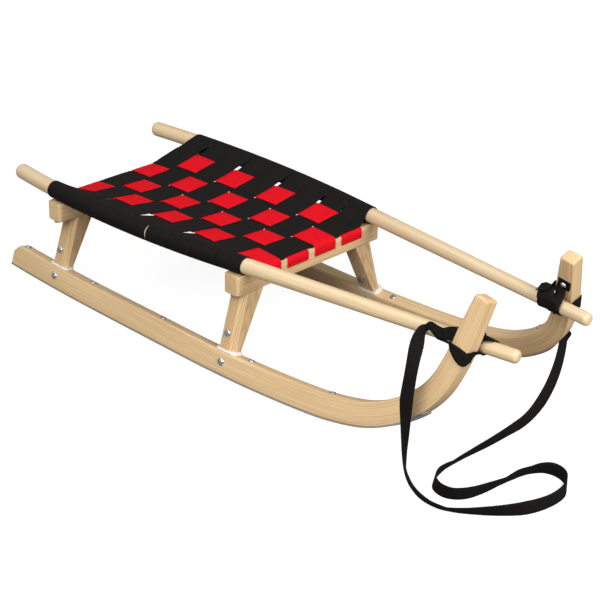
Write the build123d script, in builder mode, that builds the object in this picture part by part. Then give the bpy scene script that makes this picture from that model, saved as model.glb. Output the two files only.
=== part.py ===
"""Two-seat touring sled: two leaning ash runners with upswept horns, four legs on pads,
two crossbars, two round rails that draw together towards the front, a woven seat of nine
cross straps and four long straps, and a webbing tow strap lashed to both horns.

Frame: +X forward (towards the horns), +Y left, +Z up, millimetres, floor at Z = 0.
The right side is built and the left side is its mirror image in the XZ plane.
"""
import os
from math import atan, atan2, cos, degrees, hypot, pi, radians, sin, sqrt, tan

from build123d import *

os.makedirs("parts", exist_ok=True)

# Fits
CLEAR = 0.3            # gap between neighbouring pieces that are not glued
BOLT_CLEAR = 0.3       # radial gap round a bolt shank

# Side frames: each runner, its pads and legs lie in a plane that leans inwards
LEAN = atan(0.29)
RUNNER_WIDTH = 25.0
TRACK_OUTER = 199.0    # outer lower edge of a strip, from the middle plane
STRIP_THICK = 2.5
RUNNER_DEPTH = 42.0    # strip underside to runner top, on the straight
FLOOR_LIFT = RUNNER_WIDTH * sin(LEAN)
RUNNER_REAR = -548.0
FLAT_REAR = -300.0
FLAT_FRONT = -62.0

# Underside of the strip from the flat forwards and upwards: radius and turn of each arc
ROCKER_REAR_RADIUS = 5200.0
BEND_ARCS = (
    {"radius": 3270.0, "turn": 5.0},
    {"radius": 627.0, "turn": 9.0},
    {"radius": 267.0, "turn": 30.0},
    {"radius": 164.0, "turn": 27.0},
    {"radius": 405.0, "turn": 11.0},
)
HORN_STRAIGHT = 64.0
HORN_DEPTH = 29.0      # depth of the horn at its top
BEND_DEPTH = 36.0      # depth at the end of the bend
REAR_CHAMFER = 13.0
TOP_EDGE = 3.0         # eased upper long edges
STRIP_END_TURN = 45.0  # slope of the underside where the strip stops

# Legs and pads: x of the leg middle at the foot and below the bar
LEGS = (
    {"name": "rear", "foot_x": -420.0, "top_x": -416.0, "bar_x": -416.0, "bar_inset": 7.0},
    {"name": "front", "foot_x": 26.0, "top_x": 25.5, "bar_x": 25.0, "bar_inset": 27.5},
)
LEG_DEPTH_FOOT = 34.0
LEG_DEPTH_TOP = 33.0
LEG_FOOT_WIDTH = 21.0
LEG_TOP_WIDTH = 43.0
LEG_INSET = 2.0        # leg outer face inside the runner outer face
LEG_FRONT_CHAMFER = 9.0
LEG_REAR_CHAMFER = 4.0
PAD_THICK = 3.2
PAD_LENGTH = 45.0
PAD_RADIUS = 8.0
SEAT_LIFT = 0.1        # flat seats stand this far off the curved runner top

# Crossbars
BAR_DEPTH = 34.0
BAR_HEIGHT = 34.0
BAR_EDGE = 3.0
BAR_END_EDGE = 5.0

# Rails: an arc behind, a straight taper in front, in a slightly tilted plane
RAIL_RADIUS = 14.0
RAIL_TIP_RADIUS = 10.8
RAIL_REAR_X = -549.5
RAIL_JOIN_X = -30.0
RAIL_FRONT_X = 549.5
RAIL_INSET = 38.2      # track edge in to the rail centre at the join
RAIL_JOIN_Y = TRACK_OUTER - RAIL_INSET
RAIL_SLOPE = 0.128     # inward run of the straight part per unit forward
RAIL_BOW = 2110.0
RAIL_Z = 198.1         # centre height at the join
RAIL_RISE = 0.0105     # rise per unit forward
RAIL_CANT = 0.059      # rise per unit inward
RAIL_REAR_DOME = 9.0
RAIL_FRONT_DOME = 7.0

# Seat webbing
WEB_THICK = 1.8
ROW_COUNT = 9
ROW_PITCH = 53.0
ROW_WIDTH = 49.0
ROW_MIDDLE_X = -197.0
COL_SHARE = 0.408      # long strap pitch by the distance from the middle plane to a rail
COL_FILL = 0.762       # long strap width by its pitch
COL_PITCH = COL_SHARE * RAIL_JOIN_Y
COL_WIDTH = COL_FILL * COL_PITCH
WEAVE = (WEB_THICK + CLEAR) / 2
COLUMNS = (
    {"name": "a", "place": -1.5, "over_odd": True, "lift": 13.3, "slope": -0.16},
    {"name": "b", "place": -0.5, "over_odd": False, "lift": 5.75, "slope": -0.06},
    {"name": "c", "place": 0.5, "over_odd": True, "lift": 5.75, "slope": 0.06},
    {"name": "d", "place": 1.5, "over_odd": False, "lift": 13.3, "slope": 0.16},
)
REAR_HANG = {
    "a": {"lift": 2.4, "slope": 0.0},
    "b": {"lift": 2.4, "slope": 0.0},
    "c": {"lift": 2.4, "slope": 0.0},
    "d": {"lift": 12.7, "slope": 0.25},
}
FRONT_HANG = {"lift": 2.4, "slope": 0.0}   # long straps flat on the front bar
HEM_DROP = 16.5
HEM_SHOULDER = 0.9
FLAP_INSET = 7.0

# Bolts
SIDE_BOLT_V = (25.0, 75.0)
SIDE_BOLT_RADIUS = 4.0
SIDE_HEAD_RADIUS = 6.8
SIDE_HEAD_HEIGHT = 3.0
SIDE_NUT_RADIUS = 6.2
SIDE_NUT_HEIGHT = 4.0
SIDE_HEAD_TAPER = 36.0
SIDE_BOLT_SHIFT = -2.0
TOP_BOLT_X = (-522.0, -329.0, -139.0, 79.0, 260.0, 412.0)
TOP_NUT_RADIUS = 5.4
TOP_NUT_HEIGHT = 1.8
TOP_NUT_TAPER = 30.0
RAIL_NUT_FLATS = 10.0
RAIL_NUT_HEIGHT = 5.0
RAIL_BOLT_RADIUS = 3.0
RAIL_BOLT_DEPTH = 20.0
RAIL_BOLT_END = 8.0    # bolt middle in from the bar end

# Lashings and tow strap
STRAP_WIDTH = 25.0
STRAP_THICK = 2.0
HORN_BAND_S = 97.0     # horn top down to the middle of the horn band, along the horn front
LASHINGS = (
    {"name": "right", "band_x": 412.0},
    {"name": "left", "band_x": 464.0},
)
BAND_OVERCUT = 1.0     # hollow of the horn band past its edges
SCREW_S = 52.0         # horn top down to the tail screw
TAIL_TOP_S = 44.0
TAIL_DEPTH = (6.0, 30.0)   # tail edges behind the horn front
SCREW_RADIUS = 5.2
SCREW_HEIGHT = 3.0
SCREW_SHANK = 2.0
SCREW_DEPTH = 16.0
TOW_Z = STRAP_WIDTH / 2 + 0.2
TOW_SHARE = 0.45       # share of the shorter run taken by each corner arc
TOW_RADIUS_LIMIT = 400.0
TOW_X = 404.0          # place on the right rail where the strap leaves its lashing
TOW_RISE = 20.0        # upward angle of the strap as it leaves
TOW_FIRST = 27.0       # length of its first and last straight runs
LOOP_TRACK = 199.0     # track at which the loops below are set out
TOW_SPREAD = TRACK_OUTER / LOOP_TRACK
TOW_LOOPS = (
    (418, -165, 215), (428, -187, 198), (432, -197, 168), (433, -199, 128),
    (432, -196, 84), (430, -193, 46), (437, -198, 18), (458, -214, TOW_Z), (492, -233, TOW_Z),
    (524, -237, TOW_Z), (549, -230, TOW_Z), (574, -212, TOW_Z), (605, -182, TOW_Z), (630, -148, TOW_Z),
    (643, -107, TOW_Z), (641, -66, TOW_Z), (622, -38, TOW_Z), (598, -30, TOW_Z), (578, -38, TOW_Z),
    (567, -60, TOW_Z), (561, -85, TOW_Z), (559, -115, TOW_Z), (554, -149, TOW_Z), (546, -178, TOW_Z),
    (531, -197, TOW_Z), (511, -202, TOW_Z), (490, -193, TOW_Z), (477, -170, TOW_Z), (473, -136, TOW_Z),
    (473, -91, TOW_Z), (476, -40, TOW_Z), (475, 12, TOW_Z), (474, 55, 14), (473, 92, 31),
    (470, 122, 55), (465, 155, 86), (463, 186, 122), (467, 190, 158), (471, 185, 190),
)


def side_plane(inset=0.0):
    """Leaning plane of the right side frame: x forward, y up the lean, z outwards."""
    origin = (0, -TRACK_OUTER + inset * cos(LEAN), FLOOR_LIFT - inset * sin(LEAN))
    return Plane(origin=origin, x_dir=(1, 0, 0), z_dir=(0, -cos(LEAN), sin(LEAN)))


def side_point(x, v, w):
    """World point of side-frame coordinates (forward, up the lean, outwards)."""
    return (x, -TRACK_OUTER - w * cos(LEAN) + v * sin(LEAN), FLOOR_LIFT + w * sin(LEAN) + v * cos(LEAN))


def under_curve():
    """Stations of the strip underside: (x, v, slope) at each arc end, flat first."""
    stations = [(FLAT_FRONT, 0.0, 0.0)]
    for arc in BEND_ARCS:
        x, v, slope = stations[-1]
        end = slope + radians(arc["turn"])
        radius = arc["radius"]
        stations.append(
            (x + radius * (sin(end) - sin(slope)), v + radius * (cos(slope) - cos(end)), end)
        )
    return stations


UNDER = under_curve()
HORN_FOOT = UNDER[-1]
HORN_DIR = (cos(HORN_FOOT[2]), sin(HORN_FOOT[2]))
HORN_TOP = (HORN_FOOT[0] + HORN_STRAIGHT * HORN_DIR[0], HORN_FOOT[1] + HORN_STRAIGHT * HORN_DIR[1])


def rear_rise(x, depth):
    """Rise behind the flat of the line at a depth above the underside; all such lines share one centre."""
    radius = ROCKER_REAR_RADIUS - depth
    return radius - sqrt(radius ** 2 - (x - FLAT_REAR) ** 2)


def rear_arc(x, depth):
    """End, middle and flat end of the rear arc that lies a depth above the underside and ends at x."""
    return [(at, depth + rear_rise(at, depth)) for at in (x, (x + FLAT_REAR) / 2, FLAT_REAR)]



def offset_station(station, depth):
    """Point at a depth above the underside, square to it."""
    x, v, slope = station
    return (x - depth * sin(slope), v + depth * cos(slope))


def arc_middle(index, depth):
    """Middle of one bend arc at a depth above the underside."""
    x, v, slope = UNDER[index]
    half = slope + radians(BEND_ARCS[index]["turn"]) / 2
    radius = BEND_ARCS[index]["radius"]
    return (
        x + radius * (sin(half) - sin(slope)) - depth * sin(half),
        v + radius * (cos(slope) - cos(half)) + depth * cos(half),
    )


def depth_at(index):
    """Runner depth at the end of each bend arc: full on the straight, less at the horn."""
    share = max(0, index - 2) / (len(BEND_ARCS) - 2)
    return RUNNER_DEPTH + (BEND_DEPTH - RUNNER_DEPTH) * share


def runner_outline(lower):
    """Closed side outline of a runner whose underside lies a given depth above the strip face."""
    low_arc = rear_arc(RUNNER_REAR, lower)
    top_arc = rear_arc(RUNNER_REAR + REAR_CHAMFER, RUNNER_DEPTH)
    with BuildLine() as outline:
        ThreePointArc(*low_arc)
        Line((FLAT_REAR, lower), (FLAT_FRONT, lower))
        for index in range(len(BEND_ARCS)):
            start = offset_station(UNDER[index], lower)
            end = offset_station(UNDER[index + 1], lower)
            ThreePointArc(start, arc_middle(index, lower), end)
        foot = offset_station(HORN_FOOT, lower)
        tip = (HORN_TOP[0] - lower * HORN_DIR[1], HORN_TOP[1] + lower * HORN_DIR[0])
        Line(foot, tip)
        back = (HORN_TOP[0] - HORN_DEPTH * HORN_DIR[1], HORN_TOP[1] + HORN_DEPTH * HORN_DIR[0])
        Line(tip, back)
        last = len(BEND_ARCS)
        point = offset_station(HORN_FOOT, depth_at(last))
        Line(back, point)
        for index in reversed(range(len(BEND_ARCS))):
            near = offset_station(UNDER[index], depth_at(index))
            middle = arc_middle(index, (depth_at(index) + depth_at(index + 1)) / 2)
            ThreePointArc(point, middle, near)
            point = near
        Line(point, (FLAT_REAR, RUNNER_DEPTH))
        ThreePointArc(*reversed(top_arc))
        rear_end = (RUNNER_REAR, top_arc[0][1] - REAR_CHAMFER)
        Line(top_arc[0], rear_end)
        Line(rear_end, low_arc[0])
    return outline.line


def strip_outline():
    """Closed side outline of the steel strip under a runner."""
    slope_end = radians(STRIP_END_TURN)
    stations = []
    for index, arc in enumerate(BEND_ARCS):
        x, v, slope = UNDER[index]
        turn = min(radians(arc["turn"]), slope_end - slope)
        if turn <= 0:
            break
        half = slope + turn / 2
        end = slope + turn
        radius = arc["radius"]
        stations.append(
            (
                (x + radius * (sin(half) - sin(slope)), v + radius * (cos(slope) - cos(half)), half),
                (x + radius * (sin(end) - sin(slope)), v + radius * (cos(slope) - cos(end)), end),
            )
        )
    with BuildLine() as outline:
        ThreePointArc(*rear_arc(RUNNER_REAR, 0))
        Line((FLAT_REAR, 0), (FLAT_FRONT, 0))
        start = (FLAT_FRONT, 0)
        for middle, end in stations:
            ThreePointArc(start, middle[:2], end[:2])
            start = end[:2]
        upper = offset_station(stations[-1][1], STRIP_THICK)
        Line(start, upper)
        for index in reversed(range(len(stations))):
            near = offset_station(UNDER[index], STRIP_THICK)
            ThreePointArc(upper, offset_station(stations[index][0], STRIP_THICK), near)
            upper = near
        Line(upper, (FLAT_REAR, STRIP_THICK))
        upper_arc = rear_arc(RUNNER_REAR, STRIP_THICK)
        ThreePointArc(*reversed(upper_arc))
        Line(upper_arc[0], rear_arc(RUNNER_REAR, 0)[0])
    return outline.line


def circle_through(first, middle, last):
    """Centre and radius of the circle through three points."""
    (ax, ay), (bx, by), (cx, cy) = first, middle, last
    d = 2 * (ax * (by - cy) + bx * (cy - ay) + cx * (ay - by))
    sa, sb, sc = ax * ax + ay * ay, bx * bx + by * by, cx * cx + cy * cy
    ux = (sa * (by - cy) + sb * (cy - ay) + sc * (ay - by)) / d
    uy = (sa * (cx - bx) + sb * (ax - cx) + sc * (bx - ax)) / d
    return (ux, uy), hypot(ax - ux, ay - uy)


def top_station(x):
    """Point of the runner top at x and its slope."""
    if x < FLAT_REAR:
        arcs = (rear_arc(RUNNER_REAR + REAR_CHAMFER, RUNNER_DEPTH),)
    else:
        arcs = []
        for index in range(len(BEND_ARCS)):
            first = offset_station(UNDER[index], depth_at(index))
            last = offset_station(UNDER[index + 1], depth_at(index + 1))
            arcs.append((first, arc_middle(index, (depth_at(index) + depth_at(index + 1)) / 2), last))
    for first, middle, last in arcs:
        if min(first[0], last[0]) <= x <= max(first[0], last[0]):
            (ux, uy), radius = circle_through(first, middle, last)
            drop = sqrt(radius ** 2 - (x - ux) ** 2)
            return x, uy - drop, atan2(x - ux, drop)
    return x, RUNNER_DEPTH, 0.0


def top_plane_at(x, w, lift):
    """Plane on the runner top at x, square to the runner and standing off by a lift."""
    top_x, top_v, slope = top_station(x)
    normal = (-sin(slope), cos(slope) * sin(LEAN), cos(slope) * cos(LEAN))
    along = (cos(slope), sin(slope) * sin(LEAN), sin(slope) * cos(LEAN))
    origin = Vector(*side_point(top_x, top_v, w)) + Vector(*normal) * lift
    return Plane(origin=origin, x_dir=along, z_dir=normal)


def horn_station(s):
    """Station of the underside line and horn depth at a distance below the horn top."""
    last = len(BEND_ARCS)
    if s <= HORN_STRAIGHT:
        station = (HORN_TOP[0] - s * HORN_DIR[0], HORN_TOP[1] - s * HORN_DIR[1], HORN_FOOT[2])
        return station, HORN_DEPTH + (BEND_DEPTH - HORN_DEPTH) * s / HORN_STRAIGHT
    radius = BEND_ARCS[-1]["radius"]
    turn = (s - HORN_STRAIGHT) / radius
    end = HORN_FOOT[2]
    slope = end - turn
    station = (
        HORN_FOOT[0] - radius * (sin(end) - sin(slope)),
        HORN_FOOT[1] - radius * (cos(slope) - cos(end)),
        slope,
    )
    share = turn / radians(BEND_ARCS[-1]["turn"])
    return station, depth_at(last) + (depth_at(last - 1) - depth_at(last)) * share


def horn_loop(s, width, gap):
    """Four corners round the horn, standing off by a gap, over a width along the horn."""
    corners = []
    upper, upper_depth = horn_station(s - width / 2)
    lower, lower_depth = horn_station(s + width / 2)
    corners.append(offset_station(lower, STRIP_THICK - gap))
    corners.append(offset_station(upper, STRIP_THICK - gap))
    corners.append(offset_station(upper, upper_depth + gap))
    corners.append(offset_station(lower, lower_depth + gap))
    return corners


def tail_outline():
    """Four corners of the lashing tail on the horn inner face."""
    top = horn_station(TAIL_TOP_S)[0]
    foot = horn_station(HORN_BAND_S)[0]
    near, far = TAIL_DEPTH
    corners = ((foot, near), (top, near), (top, far), (foot, far))
    return [offset_station(station, depth) for station, depth in corners]


def screw_spot():
    """Place of the tail screw in the side frame."""
    return offset_station(horn_station(SCREW_S)[0], sum(TAIL_DEPTH) / 2)


def rail_y(x):
    """Distance of a rail centre from the middle plane."""
    if x >= RAIL_JOIN_X:
        return RAIL_JOIN_Y - RAIL_SLOPE * (x - RAIL_JOIN_X)
    back = RAIL_JOIN_X - x
    lead = RAIL_BOW * sin(atan(RAIL_SLOPE))
    return RAIL_JOIN_Y + sqrt(RAIL_BOW ** 2 - (back - lead) ** 2) - sqrt(RAIL_BOW ** 2 - lead ** 2)


def rail_z(x):
    """Height of a rail centre."""
    return RAIL_Z + RAIL_RISE * (x - RAIL_JOIN_X) + RAIL_CANT * (RAIL_JOIN_Y - rail_y(x))


def rail_radius(x):
    """Radius of a rail: constant behind the join, tapering to the front tip."""
    if x <= RAIL_JOIN_X:
        return RAIL_RADIUS
    share = (x - RAIL_JOIN_X) / (RAIL_FRONT_X - RAIL_JOIN_X)
    return RAIL_RADIUS + (RAIL_TIP_RADIUS - RAIL_RADIUS) * share


def rail_point(x, side):
    """World point on a rail centre line; side is -1 on the right, +1 on the left."""
    return Vector(x, side * rail_y(x), rail_z(x))


BAR_GAP = WEB_THICK + 2 * CLEAR
BAR_TOP = {leg["name"]: rail_z(leg["bar_x"]) - rail_radius(leg["bar_x"]) - BAR_GAP for leg in LEGS}
BAR_LINE_SLOPE = (BAR_TOP["front"] - BAR_TOP["rear"]) / (LEGS[1]["bar_x"] - LEGS[0]["bar_x"])


def row_span(row):
    """Rear and front edge of one cross strap; row 1 is the front row."""
    middle = ROW_MIDDLE_X + ROW_PITCH * ((ROW_COUNT + 1) / 2 - row)
    return middle - ROW_WIDTH / 2, middle + ROW_WIDTH / 2


SEAT_REAR = row_span(ROW_COUNT)[0]
SEAT_FRONT = row_span(1)[1]


def seat_shape(column, x):
    """Middle height and cross slope of the weave at one long strap."""
    reach = (x - (SEAT_REAR + SEAT_FRONT) / 2) / ((SEAT_FRONT - SEAT_REAR) / 2)
    bulge = max(0.0, 1 - reach ** 4)
    end = REAR_HANG[column["name"]] if reach < 0 else FRONT_HANG
    lift = end["lift"] + (column["lift"] - end["lift"]) * bulge
    slope = end["slope"] + (column["slope"] - end["slope"]) * bulge
    base = BAR_TOP["front"] + BAR_LINE_SLOPE * (x - LEGS[1]["bar_x"])
    return base + lift, slope


def red_over(column, row):
    """True where a long strap passes over a cross strap."""
    return (row % 2 == 1) == column["over_odd"]


def bar_half(leg):
    """Half the length of a crossbar."""
    return TRACK_OUTER - leg["bar_inset"]


def rail_bolt_y(leg):
    """Place of the rail bolt in a crossbar, outside the leg below."""
    return bar_half(leg) - RAIL_BOLT_END


def ribbon(points, thick):
    """Left and right edges of a ribbon of given thickness along a plane path of points."""
    left, right = [], []
    count = len(points)
    for index, (a, b) in enumerate(points):
        normals = []
        for first, second in ((index - 1, index), (index, index + 1)):
            if first < 0 or second >= count:
                continue
            da = points[second][0] - points[first][0]
            db = points[second][1] - points[first][1]
            size = hypot(da, db)
            normals.append((-db / size, da / size))
        na = sum(n[0] for n in normals) / len(normals)
        nb = sum(n[1] for n in normals) / len(normals)
        scale = thick / 2 / (na * na + nb * nb)
        left.append((a + na * scale, b + nb * scale))
        right.append((a - na * scale, b - nb * scale))
    return left, right


def tangent_point(center, radius, point, turn):
    """Touch point on a circle of the line from an outside point; turn picks the side."""
    da, db = point[0] - center[0], point[1] - center[1]
    reach = hypot(da, db)
    swing = atan2(db, da) + turn * (pi / 2 - atan2(radius, sqrt(reach ** 2 - radius ** 2)))
    return (center[0] + radius * cos(swing), center[1] + radius * sin(swing)), swing


def cross_section_path(row, x):
    """Path of one cross strap in the plane at x: flat points, then both rail wraps."""
    points = []
    for column in COLUMNS:
        height, slope = seat_shape(column, x)
        shift = -WEAVE if red_over(column, row) else WEAVE
        for edge in (-COL_WIDTH / 2 - CLEAR, COL_WIDTH / 2 + CLEAR):
            points.append((column["place"] * COL_PITCH + edge, height + slope * edge + shift))
    return points


def wrap(side, last, x):
    """Wrap of a cross strap round one rail: tangent points and flap end."""
    center = (side * rail_y(x), rail_z(x))
    radius = rail_radius(x) + CLEAR + WEB_THICK / 2
    top, top_angle = tangent_point(center, radius, last, -side)
    run = hypot(top[0] - last[0], top[1] - last[1])
    ua, ub = (top[0] - last[0]) / run, (top[1] - last[1]) / run
    drop = WEB_THICK + CLEAR
    flap = (
        last[0] + FLAP_INSET * ua + side * drop * ub,
        last[1] + FLAP_INSET * ub - side * drop * ua,
    )
    low, low_angle = tangent_point(center, radius, flap, side)
    return {"center": center, "radius": radius, "top": top_angle, "low": low_angle, "flap": flap}


def on_circle(center, radius, angle):
    """Point on a circle."""
    return (center[0] + radius * cos(angle), center[1] + radius * sin(angle))


def cross_strap_outline(row, x):
    """Closed outline of one cross strap in the plane at x (y across, z up)."""
    points = cross_section_path(row, x)
    right = wrap(-1, points[0], x)
    left = wrap(1, points[-1], x)
    half = WEB_THICK / 2
    touch_r = on_circle(right["center"], right["radius"], right["top"])
    touch_l = on_circle(left["center"], left["radius"], left["top"])
    upper, lower = ribbon([touch_r] + points + [touch_l], WEB_THICK)
    with BuildLine() as outline:
        for data, sign in ((right, -1), (left, 1)):
            start, stop = data["top"], data["low"]
            sweep = (start - stop) % (2 * pi) if sign > 0 else (stop - start) % (2 * pi)
            middle = start - sign * sweep / 2
            flap = data["flap"]
            low_out = on_circle(data["center"], data["radius"] + half, stop)
            low_in = on_circle(data["center"], data["radius"] - half, stop)
            shift = ((low_out[0] - low_in[0]) / 2, (low_out[1] - low_in[1]) / 2)
            flap_out = (flap[0] + shift[0], flap[1] + shift[1])
            flap_in = (flap[0] - shift[0], flap[1] - shift[1])
            ThreePointArc(
                on_circle(data["center"], data["radius"] + half, start),
                on_circle(data["center"], data["radius"] + half, middle),
                low_out,
            )
            Line(low_out, flap_out)
            Line(flap_out, flap_in)
            Line(flap_in, low_in)
            ThreePointArc(
                low_in,
                on_circle(data["center"], data["radius"] - half, middle),
                on_circle(data["center"], data["radius"] - half, start),
            )
        upper[0] = on_circle(right["center"], right["radius"] + half, right["top"])
        upper[-1] = on_circle(left["center"], left["radius"] + half, left["top"])
        lower[0] = on_circle(right["center"], right["radius"] - half, right["top"])
        lower[-1] = on_circle(left["center"], left["radius"] - half, left["top"])
        for edge in (upper, lower):
            for first, second in zip(edge, edge[1:]):
                Line(first, second)
    return outline.line


def long_strap_path(column, edge):
    """Path of one long strap along x at one of its edges, hem to hem."""
    bar_rear, bar_front = LEGS
    points = []
    face_front = bar_front["bar_x"] + BAR_DEPTH / 2 + CLEAR + WEB_THICK / 2
    face_rear = min(bar_rear["bar_x"] - BAR_DEPTH / 2, SEAT_REAR) - 2 * CLEAR - WEB_THICK / 2
    for row in range(ROW_COUNT, 0, -1):
        rear, front = row_span(row)
        shift = WEAVE if red_over(column, row) else -WEAVE
        for x in (rear - CLEAR, front + CLEAR):
            height, slope = seat_shape(column, x)
            points.append((x, height + slope * edge + shift))
    hem_rear = (face_rear, BAR_TOP["rear"] - HEM_DROP)
    hem_front = (face_front, BAR_TOP["front"] - HEM_DROP)
    points = [hem_rear, (face_rear, points[0][1] - HEM_SHOULDER)] + points
    points += [(face_front, points[-1][1] - HEM_SHOULDER), hem_front]
    return points


def long_strap_outline(column, edge):
    """Closed outline of one long strap at one of its edges (x along, z up)."""
    upper, lower = ribbon(long_strap_path(column, edge), WEB_THICK)
    loop = upper + lower[::-1]
    with BuildLine() as outline:
        Polyline(*loop, close=True)
    return outline.line


def save(builder, label):
    """Name a piece and write its file."""
    builder.part.label = label
    export_step(builder.part, f"parts/{label}.step")


def mirrored(builder, label):
    """Write the left piece as the mirror image of the right one."""
    with BuildPart() as twin:
        mirror(builder.part, about=Plane.XZ)
    save(twin, label)


SIDE = side_plane()


def on_underside(point):
    """True for a point low on the runner: on its underside, where the strip lies, or on its rear end."""
    local = SIDE.to_local_coords(Vector(point))
    for index in range(len(BEND_ARCS)):
        x, v, slope = UNDER[index]
        center = (x - BEND_ARCS[index]["radius"] * sin(slope), v + BEND_ARCS[index]["radius"] * cos(slope))
        swing = atan2(local.X - center[0], center[1] - local.Y)
        inside = slope - 0.001 <= swing <= slope + radians(BEND_ARCS[index]["turn"]) + 0.001
        gap = BEND_ARCS[index]["radius"] - hypot(local.X - center[0], local.Y - center[1])
        if inside and abs(gap - STRIP_THICK) < 0.5 and swing < radians(STRIP_END_TURN):
            return True
    return local.X < FLAT_FRONT and (local.Y < RUNNER_DEPTH / 2 or local.X < RUNNER_REAR + CLEAR)


# Runners
with BuildPart() as runner_right:
    with BuildSketch(SIDE):
        with BuildLine():
            add(runner_outline(STRIP_THICK))
        make_face()
    extrude(amount=-RUNNER_WIDTH)
    across = Vector(0, -cos(LEAN), sin(LEAN))
    long_edges = [e for e in runner_right.edges() if abs((e % 0.5).dot(across)) < 0.5]
    upper_edges = [e for e in long_edges if not on_underside(e @ 0.5)]
    fillet(upper_edges, TOP_EDGE)
    with Locations(SIDE.location * Pos(*screw_spot(), -RUNNER_WIDTH)):
        Cylinder(
            SCREW_SHANK + BOLT_CLEAR, SCREW_DEPTH - STRAP_THICK, mode=Mode.SUBTRACT,
            align=(Align.CENTER, Align.CENTER, Align.MIN),
        )
    for leg in LEGS:
        bolt_x = leg["foot_x"] + SIDE_BOLT_SHIFT
        with Locations(SIDE.location * Pos(bolt_x, SIDE_BOLT_V[0], -RUNNER_WIDTH / 2)):
            Cylinder(SIDE_BOLT_RADIUS + BOLT_CLEAR, RUNNER_WIDTH * 2, mode=Mode.SUBTRACT)
save(runner_right, "runner_right")
mirrored(runner_right, "runner_left")

# Steel strips
with BuildPart() as strip_right:
    with BuildSketch(SIDE):
        with BuildLine():
            add(strip_outline())
        make_face()
    extrude(amount=-RUNNER_WIDTH)
save(strip_right, "strip_right")
mirrored(strip_right, "strip_left")

# Foot pads and legs
FOOT_V = RUNNER_DEPTH + PAD_THICK
for leg in LEGS:
    pad_plane = top_plane_at(leg["foot_x"], -RUNNER_WIDTH / 2, SEAT_LIFT)
    with BuildPart() as pad:
        with BuildSketch(pad_plane):
            RectangleRounded(PAD_LENGTH, RUNNER_WIDTH, PAD_RADIUS)
        extrude(amount=PAD_THICK)
    save(pad, f"foot_pad_{leg['name']}_right")
    mirrored(pad, f"foot_pad_{leg['name']}_left")

    top_z = BAR_TOP[leg["name"]] - BAR_HEIGHT
    foot_plane = top_plane_at(leg["foot_x"], 0, SEAT_LIFT + PAD_THICK)
    top_v = (top_z - FLOOR_LIFT + LEG_INSET * sin(LEAN)) / cos(LEAN)
    top_y = side_point(0, top_v, -LEG_INSET)[1]
    bar_plane = Plane(origin=(leg["top_x"], top_y, top_z), x_dir=(1, 0, 0), z_dir=(0, 0, 1))
    with BuildPart() as leg_part:
        sections = (
            {"plane": foot_plane, "depth": LEG_DEPTH_FOOT, "width": LEG_FOOT_WIDTH, "out": LEG_INSET},
            {"plane": bar_plane, "depth": LEG_DEPTH_TOP, "width": LEG_TOP_WIDTH, "out": 0.0},
        )
        for section in sections:
            half = section["depth"] / 2
            out, inner = section["out"], section["out"] + section["width"]
            with BuildSketch(section["plane"]):
                with BuildLine():
                    Polyline(
                        (-half, inner),
                        (-half, out + LEG_REAR_CHAMFER),
                        (-half + LEG_REAR_CHAMFER, out),
                        (half - LEG_FRONT_CHAMFER, out),
                        (half, out + LEG_FRONT_CHAMFER),
                        (half, inner),
                        close=True,
                    )
                make_face()
        loft(ruled=True)
        with Locations(SIDE.location * Pos(leg["foot_x"] + SIDE_BOLT_SHIFT, SIDE_BOLT_V[1], -RUNNER_WIDTH)):
            Cylinder(SIDE_BOLT_RADIUS + BOLT_CLEAR, RUNNER_WIDTH * 4, mode=Mode.SUBTRACT)
    save(leg_part, f"leg_{leg['name']}_right")
    mirrored(leg_part, f"leg_{leg['name']}_left")

# Crossbars
for leg in LEGS:
    top = BAR_TOP[leg["name"]]
    with BuildPart() as bar:
        with Locations((leg["bar_x"], 0, top - BAR_HEIGHT / 2)):
            Box(BAR_DEPTH, 2 * bar_half(leg), BAR_HEIGHT)
        chamfer(bar.edges().filter_by(Axis.Z), BAR_END_EDGE)
        fillet(bar.edges().filter_by(Axis.Y), BAR_EDGE)
        for side in (-1, 1):
            with Locations((leg["bar_x"], side * rail_bolt_y(leg), top - BAR_HEIGHT)):
                Cylinder(
                    RAIL_BOLT_RADIUS + BOLT_CLEAR, RAIL_BOLT_DEPTH, mode=Mode.SUBTRACT,
                    align=(Align.CENTER, Align.CENTER, Align.MIN),
                )
    save(bar, f"crossbar_{leg['name']}")

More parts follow.
